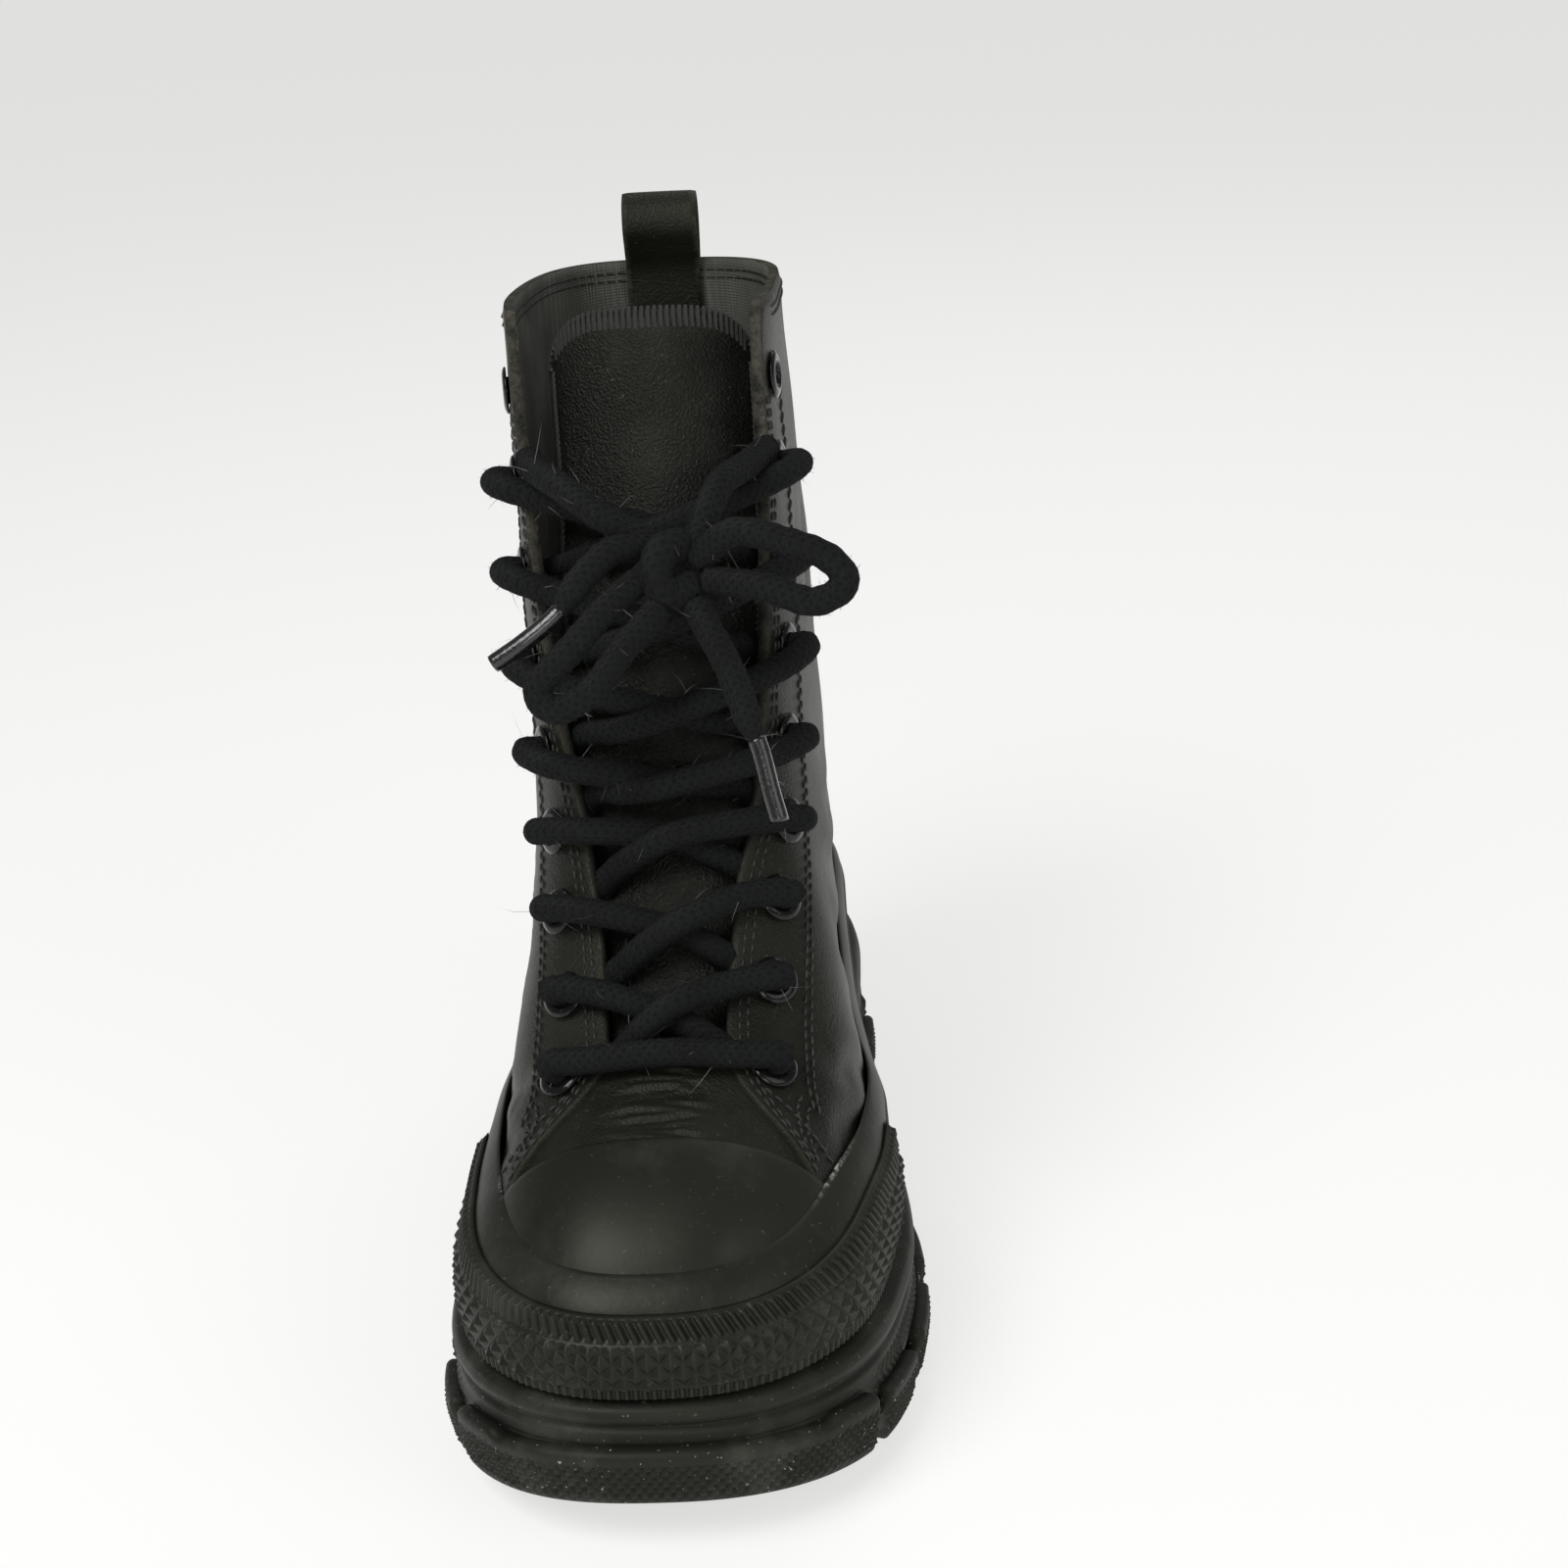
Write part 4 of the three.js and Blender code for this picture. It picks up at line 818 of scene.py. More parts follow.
build_vamp()
collar_rows, quarter_turns = build_quarters()


# Stitching: waxed black thread in double rows along the throat, behind the eyelets and round the collar.
# Three short rows strengthen each front corner, and the rows at the throat and collar show inside too.
def thread_material():
    material, tree, shader = new_material("waxed_thread")
    tone = mix_colour(tree, noise(tree, 500, 3), (0.008, 0.008, 0.0072), (0.03, 0.03, 0.027))
    tree.links.new(tone, shader.inputs["Base Color"])
    shader.inputs["Roughness"].default_value = 0.6
    bump(tree, shader, noise(tree, 3000, 2), 0.0002, 0.5)
    return material


thread = thread_material()
STITCH, STITCH_GAP, THREAD_R = 2.5, 0.75, 0.36


def run_length(points):
    return np.concatenate([[0], np.cumsum(np.linalg.norm(np.diff(points, axis=0), axis=1))])


def at_length(line, gone, at):
    return np.stack([np.interp(at, gone, line[:, k]) for k in range(3)], axis=-1)


def stitches(lines):
    points, faces = [], []
    for line in lines:
        gone = run_length(line)
        for at in np.arange(0, gone[-1] - STITCH, STITCH + STITCH_GAP):
            path = at_length(line, gone, at + STITCH * np.array([0, 0.14, 0.5, 0.86, 1]))
            facing = last_normal(path)
            path = path + facing * np.array([-0.3, 0.08, 0.2, 0.08, -0.3])[:, None]
            ahead_of = unit(np.gradient(path, axis=0))
            side = np.cross(ahead_of, facing)
            base = sum(len(p) for p in points)
            turn = np.linspace(0, 2 * math.pi, 6, endpoint=False)
            ring = side[:, None] * np.cos(turn)[None, :, None] + facing[:, None] * np.sin(turn)[None, :, None]
            thick = THREAD_R * np.array([0.5, 0.95, 1.05, 0.95, 0.5])
            points.append((path[:, None] + ring * thick[:, None, None]).reshape(-1, 3))
            faces.append(grid_faces(5, 6, True, base))
    return np.concatenate(points), np.concatenate(faces)


def on_quarter(s, turn, out):
    p = on_last(s, turn)
    return p + last_normal(p) * (out + slow_swell(p) - crease_depth(p))[:, None]


def throat_line(side, distance, first, last_row, out):
    rows = [i for i in range(len(quarter_s)) if first <= quarter_s[i] <= last_row]
    turn = np.array([quarter_turn(i, distance, side) for i in rows])
    return on_quarter(quarter_s[rows], turn, out)


THROAT_ROWS = ((3.0, 0.0), (5.0, 0.08), (20.5, 0.5), (22.6, 0.5))
CORNER_ROWS = (((0.1, 7), (0.52, 20)), ((0.18, 7), (0.6, 19)), ((0.45, 6), (0.2, 20)))
COLLAR_DROPS, THROAT_TOP = (3.2, 5.4), 8.1
lines = []
for side in (1, -1):
    lines += [throat_line(side, reach, first, THROAT_TOP, QUARTER_OUT) for reach, first in THROAT_ROWS]
    for begin, finish in CORNER_ROWS:
        s, reach = np.linspace(begin, finish, 30).T
        rows = [int(np.argmin(np.abs(quarter_s - at))) for at in s]
        turn = np.array([quarter_turn(i, d, side) for i, d in zip(rows, reach)])
        lines.append(on_quarter(s, turn, QUARTER_OUT))
inner_lines = []
collar_turn = quarter_turns[-1][10:-10]
for drop in COLLAR_DROPS:
    s = row_at_height(spine_z(collar_rows[10:-10]) - drop)
    lines.append(on_quarter(s, collar_turn, QUARTER_OUT))
    inner_lines.append(on_last(s, collar_turn, np.full(len(s), QUARTER_IN - 0.15)))
for side in (1, -1):
    inner_lines += [throat_line(side, reach, 5.0, THROAT_TOP, QUARTER_IN - 0.15) for reach in (3.0, 5.0)]
for name, sewn in (("upper_stitches", lines), ("collar_stitches_inside", inner_lines)):
    show(name, *stitches(sewn), [thread], slot="upper")


# Foxing: smooth black rubber band wrapped round the foot of the upper, with two raised pinstripes.
# It is cemented on after lasting; old glue shows along its top edge beside the toe cap.
foxing_rubber = rubber_material(
    "foxing_rubber", (0.009, 0.0095, 0.0072), (0.017, 0.0178, 0.0135), 0.36, 0.35, 0.12, 500)
FOXING_OUT, FOXING_COLUMNS = 5.5, 720
STRIPES, STRIPE_PROUD = (0.615, 0.7), 0.55
FOXING_SHARES = np.concatenate([
    np.linspace(0, 0.55, 8), np.linspace(0.57, 0.76, 26), [0.8, 0.86, 0.91, 0.95, 0.98, 1],
])


def wall_rings(edge, low, high, shares, outs):
    rings = []
    for share, out in zip(shares, outs):
        z = low + (high - low) * share
        rings.append(edge.beside(edge.wall_inset(z) + out, z))
    return rings


def build_foxing():
    edge = Outline(np.arange(FOXING_COLUMNS) / FOXING_COLUMNS)
    low = bed_z(edge.y) + 0.3
    high = foxing_z(edge.y)
    shares = FOXING_SHARES
    stripe = sum(np.exp(-(((shares - at) / 0.011) ** 2)) for at in STRIPES)
    outs = FOXING_OUT + STRIPE_PROUD * stripe - np.interp(shares, [0.76, 0.87, 0.96, 1], [0, 0.7, 2.0, 2.9])
    rings = wall_rings(edge, low, high, shares, outs)
    rings += wall_rings(edge, low, high, [1, 0.85], [2.2, 1.5])
    rings.append(edge.beside(edge.wall_inset(low) + 1.5, low))
    rings.append(rings[0].copy())
    glue = np.zeros((len(rings), FOXING_COLUMNS))
    top = len(shares)
    for share, at, wide in ((0.8, 0.112, 0.016), (0.35, 0.893, 0.008)):
        glue[top - 1:top + 1] += share * np.exp(-(((edge.u - at) / wide) ** 2))
    made = stack_rings("foxing_band", rings, foxing_rubber, marks={"glue": glue.ravel()}, slot="foxing")
    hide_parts("foxing")


build_foxing()


# Toe bumper: a moulded rubber strip round the toe, ending at the ball on both sides.
# From the bottom up: fine upright ribs, a band of small pyramids, and a slanting hatch.
BUMPER_REACH = 7 / 40
BUMPER_IN = 6.0
BUMPER_THICK = 2.3
BUMPER_BODY = np.array([
    # share of the height, share of the thickness
    (0, 0.2), (0.03, 0.6), (0.16, 0.7), (0.2, 1), (0.7, 1), (0.74, 0.75), (0.96, 0.65), (1, 0.25),
])
PYRAMID_WIDE, PYRAMID_TALL, PYRAMID_PROUD = 5.4, 6.0, 1.6
RIB_PITCH, RIB_PROUD = 2.1, 0.5
SLANT_PITCH, SLANT_PROUD, SLANT_LEAN = 2.8, 0.7, 11


def build_bumper():
    columns = 1000
    edge = Outline(np.linspace(-BUMPER_REACH, BUMPER_REACH, columns))
    length = run_length(edge.point + edge.normal * 8)
    length -= length[columns // 2]
    low = bed_z(edge.y) + 0.8
    high = bumper_z(edge.y)
    tall = high - low
    shares = np.linspace(0, 1, 74)
    rings = []
    for share in shares:
        z = low + tall * share
        body = BUMPER_THICK * np.interp(share, BUMPER_BODY[:, 0], BUMPER_BODY[:, 1])
        relief = np.zeros(columns)
        if 0.2 <= share <= 0.71:
            row = (share - 0.2) * 20.5
            a = np.abs(((length / PYRAMID_WIDE + row / PYRAMID_TALL) % 1) - 0.5) * 2
            b = np.abs(((length / PYRAMID_WIDE - row / PYRAMID_TALL) % 1) - 0.5) * 2
            relief = PYRAMID_PROUD * (np.minimum(1 - a, 1 - b) - 0.35)
        elif 0.03 < share < 0.17:
            relief = RIB_PROUD * np.clip(2 * np.sin(length * 2 * math.pi / RIB_PITCH), -1, 1)
        elif 0.76 < share < 0.96:
            leaning = (length + share * SLANT_LEAN) * 2 * math.pi / SLANT_PITCH
            relief = SLANT_PROUD * np.clip(2 * np.sin(leaning), -1, 1)
        shrink = ease((np.abs(edge.u) - BUMPER_REACH) / -0.004)
        rings.append(edge.beside(edge.wall_inset(z) + BUMPER_IN + (body + relief) * shrink, z))
    rings += wall_rings(edge, low, high, [0, 1], [BUMPER_IN - 0.3, BUMPER_IN - 0.3])
    points = np.concatenate(rings)
    rows = len(shares)
    faces = [grid_faces(rows, columns)]
    second = rows * columns
    j = np.arange(columns - 1)
    faces.append(np.stack([second + j, second + j + 1, j + 1, j], axis=1))
    top = (rows - 1) * columns
    third = second + columns
    faces.append(np.stack([top + j, top + j + 1, third + j + 1, third + j], axis=1))
    faces.append(np.stack([third + j, third + j + 1, second + j + 1, second + j], axis=1))
    made = show("bumper_strip", points, np.concatenate(faces), [foxing_rubber], slot="toe_bumper")
    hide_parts("toe_bumper")


build_bumper()


# Toe cap: smooth moulded rubber over the front of the vamp, thinned along its back edge.
# Its front is tucked under the foxing and its corners under the quarters.
cap_rubber = rubber_material(
    "cap_rubber", (0.0085, 0.0088, 0.0066), (0.016, 0.0165, 0.0125), 0.36, 0.3, 0.07, 260)
CAP_REACH, CAP_FRONT_S, CAP_BACK_S, CAP_INSIDE = 1.38, -0.93, -0.1, 0.3


def build_cap():
    turns = np.linspace(-CAP_REACH, CAP_REACH, 150)
    bow = 1 - (turns / CAP_REACH) ** 2
    back = CAP_BACK_S * bow
    share = np.linspace(0, 1, 70)[:, None]
    s = CAP_FRONT_S + (back[None] - CAP_FRONT_S) * share
    turns_at = np.broadcast_to(turns, s.shape)
    flat = on_last(s, turns_at).reshape(-1, 3)
    normal = last_normal(flat)
    out = np.interp(share, [0, 0.955, 0.985, 1], [1.9, 1.9, 1.5, 0.7])
    out = np.broadcast_to(out, s.shape).ravel() - 0.25 * crease_depth(flat)
    points = np.concatenate([flat + normal * out[:, None], flat + normal * CAP_INSIDE])
    rows, columns = s.shape
    faces = [grid_faces(rows, columns)[:, ::-1], grid_faces(rows, columns, False, rows * columns)]
    second = rows * columns
    j = np.arange(columns - 1)
    top = (rows - 1) * columns
    faces.append(np.stack([top + j, top + j + 1, second + top + j + 1, second + top + j], axis=1))
    faces.append(np.stack([j + 1, j, second + j, second + j + 1], axis=1))
    i = np.arange(rows - 1) * columns
    for edge_column in (0, columns - 1):
        a = i + edge_column
        faces.append(np.stack([a, a + columns, second + a + columns, second + a], axis=1))
    made = show("cap_shell", points, np.concatenate(faces), [cap_rubber], slot="toe_cap")
    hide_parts("toe_cap")


build_cap()


# Tongue: softly padded leather leaf behind the throat, rounded at the top and lined with cloth.
# A seam crosses it at the ankle, and thread is overcast round its free edge.
TONGUE = np.array([
    # s, drop, half, sag, shift
    (0.6, 2.6, 16, 4, 0), (2, 4, 20, 6, 0), (3, 5.5, 23, 8, 0), (5, 8, 25, 9, 0),
    (6, 11, 25.5, 9, 0.5), (7, 17, 26, 9, 1.5), (8, 24, 26, 10, 3), (9, 30, 26, 10, 3),
])
tongue_drop, tongue_half, tongue_sag, tongue_shift = (through(TONGUE, k) for k in range(1, 5))
TONGUE_THICK, TONGUE_TOP_Z = 3.0, 260
tongue_leather = leather_material(
    "tongue_leather", (0.003, 0.0031, 0.0026), (0.0065, 0.0072, 0.006), 0.27, 1600, 0.0008)


def sheet_faces(rows, columns):
    second = rows * columns
    j = np.arange(columns - 1)
    i = np.arange(rows - 1) * columns
    faces = [grid_faces(rows, columns)[:, ::-1], grid_faces(rows, columns, False, second)]
    for a, b in ((j, j + 1), (second - 1 - j, second - 2 - j), (i + columns, i),
                 (i + columns - 1, i + 2 * columns - 1)):
        faces.append(np.stack([a, b, second + b, second + a], axis=1))
    return np.concatenate(faces)


def on_tongue(s, across, out):
    s, across = np.broadcast_arrays(np.asarray(s, float), np.asarray(across, float))
    front = on_last(s, np.zeros_like(s))
    normal = last_normal(front)
    depth = -tongue_drop(s) - tongue_sag(s) * across * across + out
    p = front + normal * depth[..., None]
    p[..., 0] += tongue_shift(s) + tongue_half(s) * across
    return p


def build_tongue():
    across = np.sin(np.linspace(-math.pi / 2, math.pi / 2, 61))
    top = row_at_height(TONGUE_TOP_Z)
    round_off = 0.3 * (1 - np.sqrt(np.maximum(0, 1 - across ** 4)))
    share = np.linspace(0, 1, 190)[:, None]
    s = 0.6 + (top - round_off[None] - 0.6) * share
    a = np.broadcast_to(across, s.shape)
    ripple = 0.22 * np.sin(s * 9 + 2 * a) * np.exp(-((a / 0.6) ** 2)) * (s < 6)
    seam = -0.7 * np.exp(-(((s - 4.52) / 0.025) ** 2)) - 0.5 * np.exp(-(((s - 4.66) / 0.02) ** 2))
    ridge = 0.8 * np.exp(-((a / 0.28) ** 2)) * ease((s - 5.5) / 1.5)
    rounding = -1.4 * np.clip((np.abs(a) - 0.93) / 0.07, 0, 1) ** 2
    rounding = rounding - 1.4 * np.clip((share - 0.99) / 0.01, 0, 1) ** 2
    front = on_tongue(s, a, ripple + seam + ridge + rounding)
    back = on_tongue(s, a, -TONGUE_THICK - rounding)
    rows, columns = s.shape
    points = np.concatenate([front.reshape(-1, 3), back.reshape(-1, 3)])
    faces = sheet_faces(rows, columns)
    which = np.zeros(len(faces))
    inner = (rows - 1) * (columns - 1)
    which[inner:2 * inner] = 1
    wear = np.exp(-(1 - np.abs(a)) / 0.03) * 0.5 + np.exp(-(1 - share) / 0.006) * 0.6
    made = show("tongue_leaf", points, faces, [tongue_leather, lining_cloth], face_material=which,
                marks={"wear": np.tile(wear.ravel(), 2)}, slot="tongue")
    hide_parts("tongue")
    return front, back


tongue_front, tongue_back = build_tongue()


def smooth_path(points, count):
    p = np.asarray(points, float)
    knots = np.concatenate([[0], np.cumsum(np.sqrt(np.linalg.norm(np.diff(p, axis=0), axis=1)))])
    slope = np.gradient(p, knots, axis=0)
    t = np.linspace(0, knots[-1], 40 * len(p))
    i = np.clip(np.searchsorted(knots, t) - 1, 0, len(p) - 2)
    h = (knots[i + 1] - knots[i])[:, None]
    x = (t - knots[i])[:, None] / h
    curve = (
        p[i] * (1 + 2 * x) * (1 - x) ** 2
        + p[i + 1] * x ** 2 * (3 - 2 * x)
        + h * slope[i] * x * (1 - x) ** 2
        + h * slope[i + 1] * x ** 2 * (x - 1)
    )
    gone = run_length(curve)
    even = np.linspace(0, gone[-1], count)
    return at_length(curve, gone, even), even


def tube(path, along, radius, sides=20):
    radius = np.broadcast_to(radius, len(path)).copy()
    ahead_of = unit(np.gradient(path, axis=0))
    side = np.empty_like(path)
    side[0] = unit(np.cross(ahead_of[0], [0.3, 0.2, 0.93]))
    for i in range(1, len(path)):
        side[i] = unit(side[i - 1] - ahead_of[i] * np.dot(side[i - 1], ahead_of[i]))
    other = np.cross(ahead_of, side)
    turn = np.linspace(0, 2 * math.pi, sides, endpoint=False)
    ring = side[:, None] * np.cos(turn)[None, :, None] + other[:, None] * np.sin(turn)[None, :, None]
    points = path[:, None] + ring * radius[:, None, None]
    uv = np.stack(np.broadcast_arrays(np.abs(turn / math.pi - 1)[None], along[:, None]), axis=-1)
    ends = np.array([path[0], path[-1]])
    faces = grid_faces(len(path), sides, True).tolist()
    last = len(path) * sides
    for j in range(sides):
        faces.append([last, (j + 1) % sides, j])
        faces.append([last + 1, last - sides + j, last - sides + (j + 1) % sides])
    uv = np.concatenate([uv.reshape(-1, 2), [[0, 0], [0, along[-1]]]])
    return np.concatenate([points.reshape(-1, 3), ends]), faces, uv, ring


OVERCAST_FROM, OVERCAST_PITCH, OVERCAST_DEEP, OVERCAST_R = 120, 1.6, 4.6, 0.58


def rim_of(leaf, inset):
    left = leaf[OVERCAST_FROM:, inset]
    right_side = leaf[OVERCAST_FROM:, -1 - inset]
    return np.concatenate([left, leaf[-max(1, inset), 1:-1], right_side[::-1]])


def overcast_thread():
    rims = [rim_of(tongue_front, 0), rim_of(tongue_back, 0), rim_of(tongue_front, 6)]
    gone = run_length(rims[0])
    points, faces = [], []
    for at in np.arange(0.5, gone[-1] - 0.5, OVERCAST_PITCH):
        f, b, deep = (at_length(rim, gone, at) for rim in rims)
        inward = unit(deep - f)
        facing = unit(f - b)
        line = np.array([
            f + inward * OVERCAST_DEEP + facing * 0.4, f + facing * 0.8 + inward * 1.2,
            (f + b) / 2 - inward * 0.6, b - facing * 0.4 + inward * 0.8,
        ])
        verts, quads, _, _ = tube(*smooth_path(line, 9), OVERCAST_R, 6)
        base = len(points) * len(verts)
        points.append(verts)
        faces += [[base + v for v in face] for face in quads]
    show("tongue_overcast", np.concatenate(points), faces, [thread], smooth=False, slot="tongue")


overcast_thread()


# Eyelets: black enamelled brass rings, nine to a side, chipped to the metal in places.
# The flange lies outside, and the barrel is rolled over inside the lining.
def enamel_material():
    material, tree, shader = new_material("eyelet_enamel")
    chips = ramp(tree, noise(tree, 900, 4, 0.7), 0.6, 0.68)
    tone = mix_colour(tree, chips, (0.012, 0.012, 0.012), (0.075, 0.07, 0.06))
    tree.links.new(tone, shader.inputs["Base Color"])
    tree.links.new(ramp(tree, chips, -0.4, 2.2), shader.inputs["Roughness"])
    shader.inputs["Metallic"].default_value = 0.55
    bump(tree, shader, noise(tree, 600, 3), 0.0002, 0.2)
    return material


enamel = enamel_material()
EYELET_PROFILE = np.array([
    (2.9, -3.1), (3.5, -3.3), (4.4, -2.9), (3.6, -2.4), (3.45, 0.2), (5.7, 0.15), (6.05, 0.4), (5.85, 0.75),
    (5.0, 1.15), (4.1, 1.35), (3.4, 1.2), (3.0, 0.7), (2.9, -0.2), (2.9, -3.1),
])


def build_eyelets(side):
    points, faces = [], []
    sides = 40
    turn = np.linspace(0, 2 * math.pi, sides, endpoint=False)
    for spot, facing in seats[side]:
        across = unit(np.cross(facing, [0, 0.2, 1]))
        other = np.cross(facing, across)
        ring = across * np.cos(turn)[:, None] + other * np.sin(turn)[:, None]
        rows = np.array([spot + ring * r + facing * h for r, h in EYELET_PROFILE])
        faces.append(grid_faces(len(EYELET_PROFILE), sides, True, len(points) * rows.shape[0] * sides))
        points.append(rows.reshape(-1, 3))
    made = show(f"eyelets_{side}", np.concatenate(points), np.concatenate(faces), [enamel], slot="eyelets")
    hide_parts(*[f"eyelet_{side}_{row}" for row in range(1, 10)])


build_eyelets("lateral")
build_eyelets("medial")


# Lacing: round braided cotton, about 7 mm thick, black with a green cast and worn fuzzy.
# A bar lies over the foot of the throat, then crossings follow. Each strand comes from under the far flap,
# crosses the tongue, passes over the near flap's edge and dives into its eyelet from outside.
LACE_R, LACE_STEP, LACE_UNEVEN = 3.5, 1.1, 0.12
BRAID_STRANDS, BRAID_PITCH = 4, 2.4
COTTON = (0.0008, 0.0015, 0.0014)
COTTON_PALE = (0.012, 0.0172, 0.0155)


def cotton_material():
    material, tree, shader = new_material("lace_cotton")
    uv = tree.nodes.new("ShaderNodeUVMap")
    split = tree.nodes.new("ShaderNodeSeparateXYZ")
    tree.links.new(uv.outputs[0], split.inputs[0])
    around = math_node(tree, "MULTIPLY", split.outputs[0], 2 * math.pi * BRAID_STRANDS)
    along = math_node(tree, "MULTIPLY", split.outputs[1], 2 * math.pi / BRAID_PITCH)
    left = math_node(tree, "SINE", math_node(tree, "ADD", around, along), 0)
    right_hand = math_node(tree, "SINE", math_node(tree, "SUBTRACT", around, along), 0)
    braid = math_node(tree, "MAXIMUM", left, right_hand)
    lint = noise(tree, 2600, 4, 0.7)
    height = math_node(tree, "ADD", braid, math_node(tree, "MULTIPLY", lint, 4.0))
    bump(tree, shader, height, 0.0007, 1.0)
    # Colour is paler where the height is high: pale lint fuzz, plus a painted highlight on the raised braid
    # strands and painted shade in the hollows between them.
    ridge_highlight_and_fuzz = math_node(tree, "MULTIPLY", ramp(tree, height, 1.6, 3.4), ramp(tree, noise(tree, 90), 0.25, 0.7))
    tree.links.new(mix_colour(tree, ridge_highlight_and_fuzz, COTTON, COTTON_PALE), shader.inputs["Base Color"])
    shader.inputs["Roughness"].default_value = 0.95
    shader.inputs["Specular IOR Level"].default_value = 0.15
    shader.inputs["Sheen Weight"].default_value = 0.04
    shader.inputs["Sheen Roughness"].default_value = 0.5
    return material


cotton = cotton_material()


lint_spots = []


def lace(name, points, nodes=(), radius=LACE_R, taper=(), hold=0):
    rough_length = np.linalg.norm(np.diff(np.asarray(points, float), axis=0), axis=1).sum()
    path, along = smooth_path(points, max(20, int(rough_length / LACE_STEP)))
    thick = np.full(len(path), radius)
    thick += LACE_UNEVEN * np.sin(along * 1.3 + len(name))
    for end, tip, reach in taper:
        gap = along if end == 0 else along[-1] - along
        thick = np.minimum(thick, tip + (radius - tip) * np.clip(gap / reach - hold, 0, 1))
    verts, faces, uv, ring = tube(path, along, thick)
    made = show(name, verts, faces, [cotton], uv=uv, slot="laces")
    if nodes:
        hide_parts(*nodes)
    lint_spots.append((path, ring, thick))
    return made, path


def s_of(spot):
    rows = np.linspace(0.4, 8.6, 500)
    front = on_last(rows, np.full(500, 0.35))
    return rows[np.argmin(np.linalg.norm(front[:, 1:] - spot[None, 1:], axis=1))]


seat_s = {side: [s_of(spot) for spot, _ in seats[side]] for side in seats}
SIDES = {"lateral": 1, "medial": -1}
FAR = {"lateral": "medial", "medial": "lateral"}


def over_edge(side, s, distance, lift):
    row = int(np.argmin(np.abs(quarter_s - s)))
    turn = quarter_turn(row, distance, SIDES[side])
    p = on_last(np.array([quarter_s[row]]), np.array([turn]))
    return (p + last_normal(p) * (QUARTER_OUT + lift))[0]


def into_eyelet(side, row):
    spot, facing = seats[side][row]
    return [spot + facing * (LACE_R + 1.6), spot + facing * 1.5, spot - facing * 5]


bar_s = (seat_s["lateral"][0] + seat_s["medial"][0]) / 2
front = on_last(np.array([bar_s]), np.array([0.0]))
bar = into_eyelet("medial", 0)[::-1]
bar.append(over_edge("medial", bar_s, 1, LACE_R + 0.5))
bar.append((front + last_normal(front) * (LACE_R + 1.2))[0])
bar.append(over_edge("lateral", bar_s, 1, LACE_R + 0.5))
bar += into_eyelet("lateral", 0)
lace("lacing_bar", bar, ["lace_bar_1"], taper=[(0, 2.6, 9), (1, 2.6, 9)])
for row in range(1, 8):
    for side, lift in (("lateral", 2 * LACE_R - 0.8), ("medial", 0.0)):
        sign = SIDES[side]
        far = FAR[side]
        s_far, s_near = seat_s[far][row - 1], seat_s[side][row]
        hidden_spot, hidden_facing = seats[far][row - 1]
        points = [
            hidden_spot - hidden_facing * 6.5,
            on_tongue(s_far + 0.18 * (s_near - s_far), -sign * 0.8, LACE_R - 0.2),
            on_tongue(s_far + 0.34 * (s_near - s_far), -sign * 0.42, LACE_R + 0.6 + 0.5 * lift),
            on_tongue(s_far + 0.52 * (s_near - s_far), 0.0, LACE_R + 0.7 + lift),
            over_edge(side, s_far + 0.9 * (s_near - s_far), 0.5, LACE_R + 1.0),
        ] + into_eyelet(side, row)
        node_name = [f"lace_cross_{row + 1}"] if side == "lateral" else []
        lace(f"lacing_{row + 1}_{side}", points, node_name, taper=[(0, 2.4, 12), (1, 2.6, 9)])
LACING_RUNS = len(lint_spots)


# Bow: the lace's free length, tied in front of the tongue and hanging limp.
# Feeds come from the top used eyelets into a knot, and two loops and two ends leave it.
BOW = {
    "bow_loop_right": [
        (13, -36, 206), (22, -42, 214), (34, -46, 212.5), (45, -48, 208),
        (48, -48.5, 202.5), (41, -48, 198), (29, -45, 201), (15, -38.5, 201.5),
    ],
    "bow_loop_left": [
        (1, -37.5, 203.5), (-8, -46.5, 198.5), (-18, -54, 189.5), (-25.5, -57, 181.5),
        (-22, -58, 177), (-13.5, -56, 180), (-4.5, -50, 189.5), (3.5, -43, 196.5),
    ],
}
ENDS = {
    "left": [
        (0.5, -33.5, 208.5), (-7, -38, 209.5), (-14, -44, 205), (-20, -48.5, 198),
        (-28, -51, 192), (-36, -52, 187),
    ],
    "right": [
        (12, -41, 196), (15.5, -47, 191), (20, -52, 183), (24, -57, 172),
        (26.4, -60, 166), (28.6, -64, 157), (30.5, -67.2, 150.3),
    ],
}
KNOT = [(10.5, -32.5, 208.5), (5, -38, 209), (3, -41.5, 204), (5.5, -41.5, 199.5), (11.5, -37.5, 200)]
FEEDS = {
    "left": [
        (-31, 2, 222), (-27, -9, 221.5), (-20, -22, 221), (-11, -29, 216), (-2, -31, 211), (4, -33, 207),
    ],
    "right": [
        (29, 4, 222), (24, -8, 221), (18, -22, 220), (15, -30, 215), (13, -33, 210), (10, -35, 206),
    ],
}


knot, _ = lace("lace_knot", KNOT, ["bow_knot"], radius=LACE_R + 0.8)
for side, points in FEEDS.items():
    feed, path = lace(f"lace_feed_{side}", points)
for name, points in BOW.items():
    loop, path = lace(name.replace("bow", "lace"), points, [name])


# Aglets: clear film rolled tight round the last 20 mm of each lace end, dark and glossy.
# The cord is squeezed thin inside the film and swells to its full thickness just behind it.
AGLET_R, AGLET_SAMPLES = 2.25, 19
SQUEEZED_R, SWELL_REACH, SWELL_HOLD = 1.8, 7, 2.7
FILM, FILM_PALE = (0.003, 0.0035, 0.0035), (0.012, 0.013, 0.012)


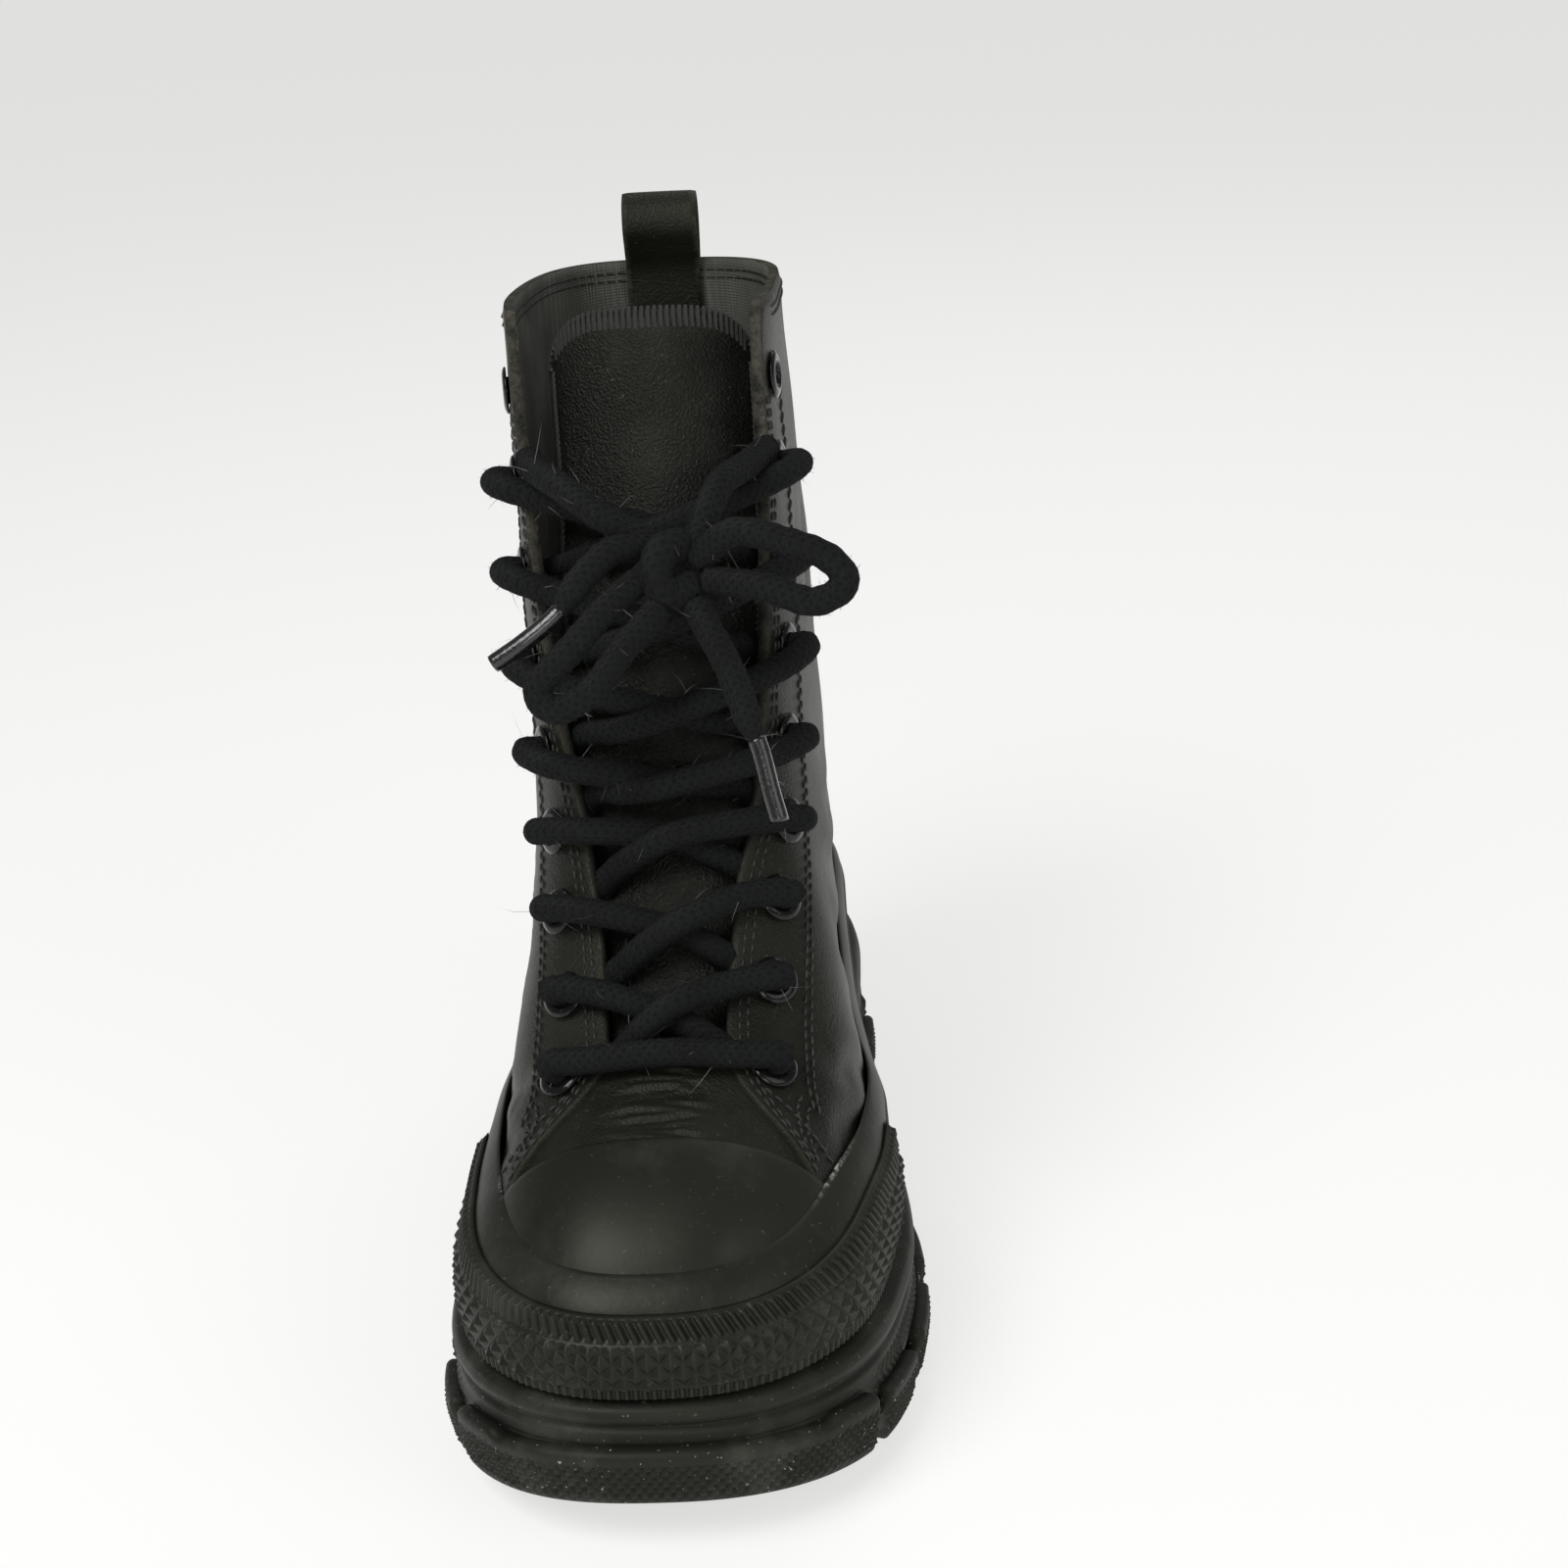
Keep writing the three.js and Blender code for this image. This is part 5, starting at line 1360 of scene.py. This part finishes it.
def film_material():
    material, tree, shader = new_material("aglet_film")
    tone = mix_colour(tree, ramp(tree, noise(tree, 700, 4), 0.35, 0.7), FILM, FILM_PALE)
    tree.links.new(tone, shader.inputs["Base Color"])
    shader.inputs["Roughness"].default_value = 0.25
    shader.inputs["Coat Weight"].default_value = 0.4
    bump(tree, shader, noise(tree, 900, 3), 0.0003, 0.5)
    return material


film = film_material()
for side, points in ENDS.items():
    end, path = lace(f"lace_end_{side}_cord", points, [f"lace_end_{side}"],
                     taper=[(1, SQUEEZED_R, SWELL_REACH)], hold=SWELL_HOLD)
    tip, along = smooth_path(path[-AGLET_SAMPLES:], 24)
    verts, faces, uv, _ = tube(tip, along, AGLET_R, 16)
    aglet = show(f"aglet_film_{side}", verts, faces, [film], uv=uv, slot="aglets")
    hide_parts(f"aglet_{side}")


# Lint: loose cotton fibres standing off the laces, dark as they are and up to 2 mm long.
# A few long pale hairs are caught among them.
LINT_PER_MM, LINT_REACH, LINT_HALF_WIDTH = 9, 1.7, 0.05
HAIRS_PER_MM, HAIR_REACH, HAIR_HALF_WIDTH = 0.16, 9.0, 0.06
rng = np.random.default_rng(7)


def lint_material(name, colour):
    material, tree, shader = new_material(name)
    tone = mix_colour(tree, noise(tree, 300, 2), colour, tuple(0.6 * c for c in colour))
    tree.links.new(tone, shader.inputs["Base Color"])
    shader.inputs["Roughness"].default_value = 0.9
    return material


def fibres(name, count_per_mm, reach, width, material):
    points, faces = [], []
    total = 0
    for path, ring, thick in lint_spots[LACING_RUNS:] + lint_spots[:LACING_RUNS]:
        length = np.linalg.norm(np.diff(path, axis=0), axis=1).sum()
        for _ in range(int(length * count_per_mm)):
            i = rng.integers(1, len(path) - 1)
            j = rng.integers(0, ring.shape[1])
            facing = ring[i, j]
            lean = unit(rng.normal(size=3) + facing * 1.2)
            root = path[i] + facing * thick[i] * 0.93
            tall = reach * rng.uniform(0.35, 1.0)
            side = unit(np.cross(lean, rng.normal(size=3))) * width
            bend = rng.normal(size=3) * tall * 0.35
            middle = root + lean * tall * 0.55 + bend * 0.4
            tip = root + lean * tall + bend
            points += [root - side, root + side, middle + side * 0.8, middle - side * 0.8, tip]
            faces += [[total, total + 1, total + 2, total + 3], [total + 3, total + 2, total + 4]]
            total += 5
    show(name, points, faces, [material], smooth=False, slot="laces")


dark_lint = lint_material("lint", (0.012, 0.018, 0.0165))
fibres("lace_lint", LINT_PER_MM, LINT_REACH, LINT_HALF_WIDTH, dark_lint)
pale_hair = lint_material("pale_hair", (0.2, 0.2, 0.185))
fibres("lace_hairs", HAIRS_PER_MM, HAIR_REACH, HAIR_HALF_WIDTH, pale_hair)


# Heel pull loop: a strip of the upper's leather folded over the collar and sewn down.
# Its cut edges are raw and worn pale. The path gives distance behind the heel, and height.
LOOP_PATH = np.array([
    (1.25, 228), (1.25, 249), (3.4, 255), (4.2, 261), (1.8, 266.5), (-2.6, 268.5), (-7, 266),
    (-9, 260), (-7, 254), (-4.8, 248), (-4.8, 236),
])
LOOP_HALF_WIDTH, LOOP_HALF_THICK = 10.5, 0.8


def heel_line(x, z):
    at = np.minimum(z, COLLAR_BACK_Z)
    depth = (leg_back(at) - leg_front(at)) / 2
    across = np.abs((x - leg_axis(at)) / leg_half(at)) ** LEG_POWER
    return (leg_front(at) + leg_back(at)) / 2 + depth * (1 - across) ** (1 / LEG_POWER) + QUARTER_OUT


def build_loop():
    flat = np.concatenate([np.zeros((len(LOOP_PATH), 1)), LOOP_PATH], axis=1)
    rows, columns = 90, 15
    path, _ = smooth_path(flat, rows)
    ahead_of = unit(np.gradient(path, axis=0))
    across = np.linspace(-LOOP_HALF_WIDTH, LOOP_HALF_WIDTH, columns)
    edge = 1 - 0.25 * (np.abs(across) > 10)[None]
    x = leg_axis(np.float64(COLLAR_BACK_Z)) + across[None] + np.zeros((rows, 1))
    sides = []
    for out in (LOOP_HALF_THICK, -LOOP_HALF_THICK):
        y = heel_line(x, path[:, 2:3]) + path[:, 1:2] - ahead_of[:, 2:3] * out * edge
        z = path[:, 2:3] + ahead_of[:, 1:2] * out * edge
        sides.append(np.stack([x, y, z + np.zeros_like(x)], axis=-1).reshape(-1, 3))
    faces = sheet_faces(rows, columns)
    which = np.arange(len(faces)) >= 2 * (rows - 1) * (columns - 1)
    wear = np.tile((np.abs(across) > 9.5).astype(float) * 0.7, 2 * rows)
    made = show("loop_strip", np.concatenate(sides), faces, [upper_leather, cut_edge],
                face_material=which, marks={"wear": wear}, slot="pull_loop")
    drop_loose(made)
    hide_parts("pull_loop")


build_loop()


# Floor and light: a plain white floor that glows a little, so that it stays white far away.
# Soft lamps stand above and on both sides, as over a studio table. Lengths here are metres.
FLOOR_HALF = 30
floor_corners = [(x * FLOOR_HALF, y * FLOOR_HALF, 0) for x, y in ((-1, -1), (1, -1), (1, 1), (-1, 1))]
floor_mesh = bpy.data.meshes.new("floor")
floor_mesh.from_pydata(floor_corners, [], [(0, 1, 2, 3)])
floor = bpy.data.objects.new("floor", floor_mesh)
floor_paint, _, floor_shader = new_material("floor_paint")
floor_shader.inputs["Base Color"].default_value = (0.36, 0.36, 0.355, 1)
floor_shader.inputs["Emission Color"].default_value = (1, 1, 0.99, 1)
floor_shader.inputs["Emission Strength"].default_value = 0.66
floor_shader.inputs["Roughness"].default_value = 0.9
floor_mesh.materials.append(floor_paint)
bpy.context.scene.collection.objects.link(floor)
LAMPS = {
    # name: place, aim, size, power
    "key": ((-0.55, -0.75, 1.25), (0, -0.02, 0.1), 0.75, 14),
    "fill": ((0.9, -0.7, 0.8), (0, 0, 0.1), 0.8, 3.0),
    "back": ((0.35, 0.9, 1.2), (0, 0, 0.15), 0.9, 3.5),
    "front": ((0.1, -1.3, 0.5), (0, 0, 0.1), 0.45, 2.5),
}
for name, (spot, aim, size, power) in LAMPS.items():
    lamp = bpy.data.lights.new(name, "AREA")
    lamp.size = size
    lamp.energy = power
    stand = bpy.data.objects.new(name, lamp)
    stand.location = spot
    stand.rotation_euler = (Vector(aim) - Vector(spot)).to_track_quat("-Z", "Y").to_euler()
    bpy.context.scene.collection.objects.link(stand)
world = bpy.data.worlds.new("studio")
world.use_nodes = True
world.node_tree.nodes["Background"].inputs[0].default_value = (1, 1, 1, 1)
world.node_tree.nodes["Background"].inputs[1].default_value = 0.2
bpy.context.scene.world = world
bpy.context.scene.view_settings.view_transform = "Standard"
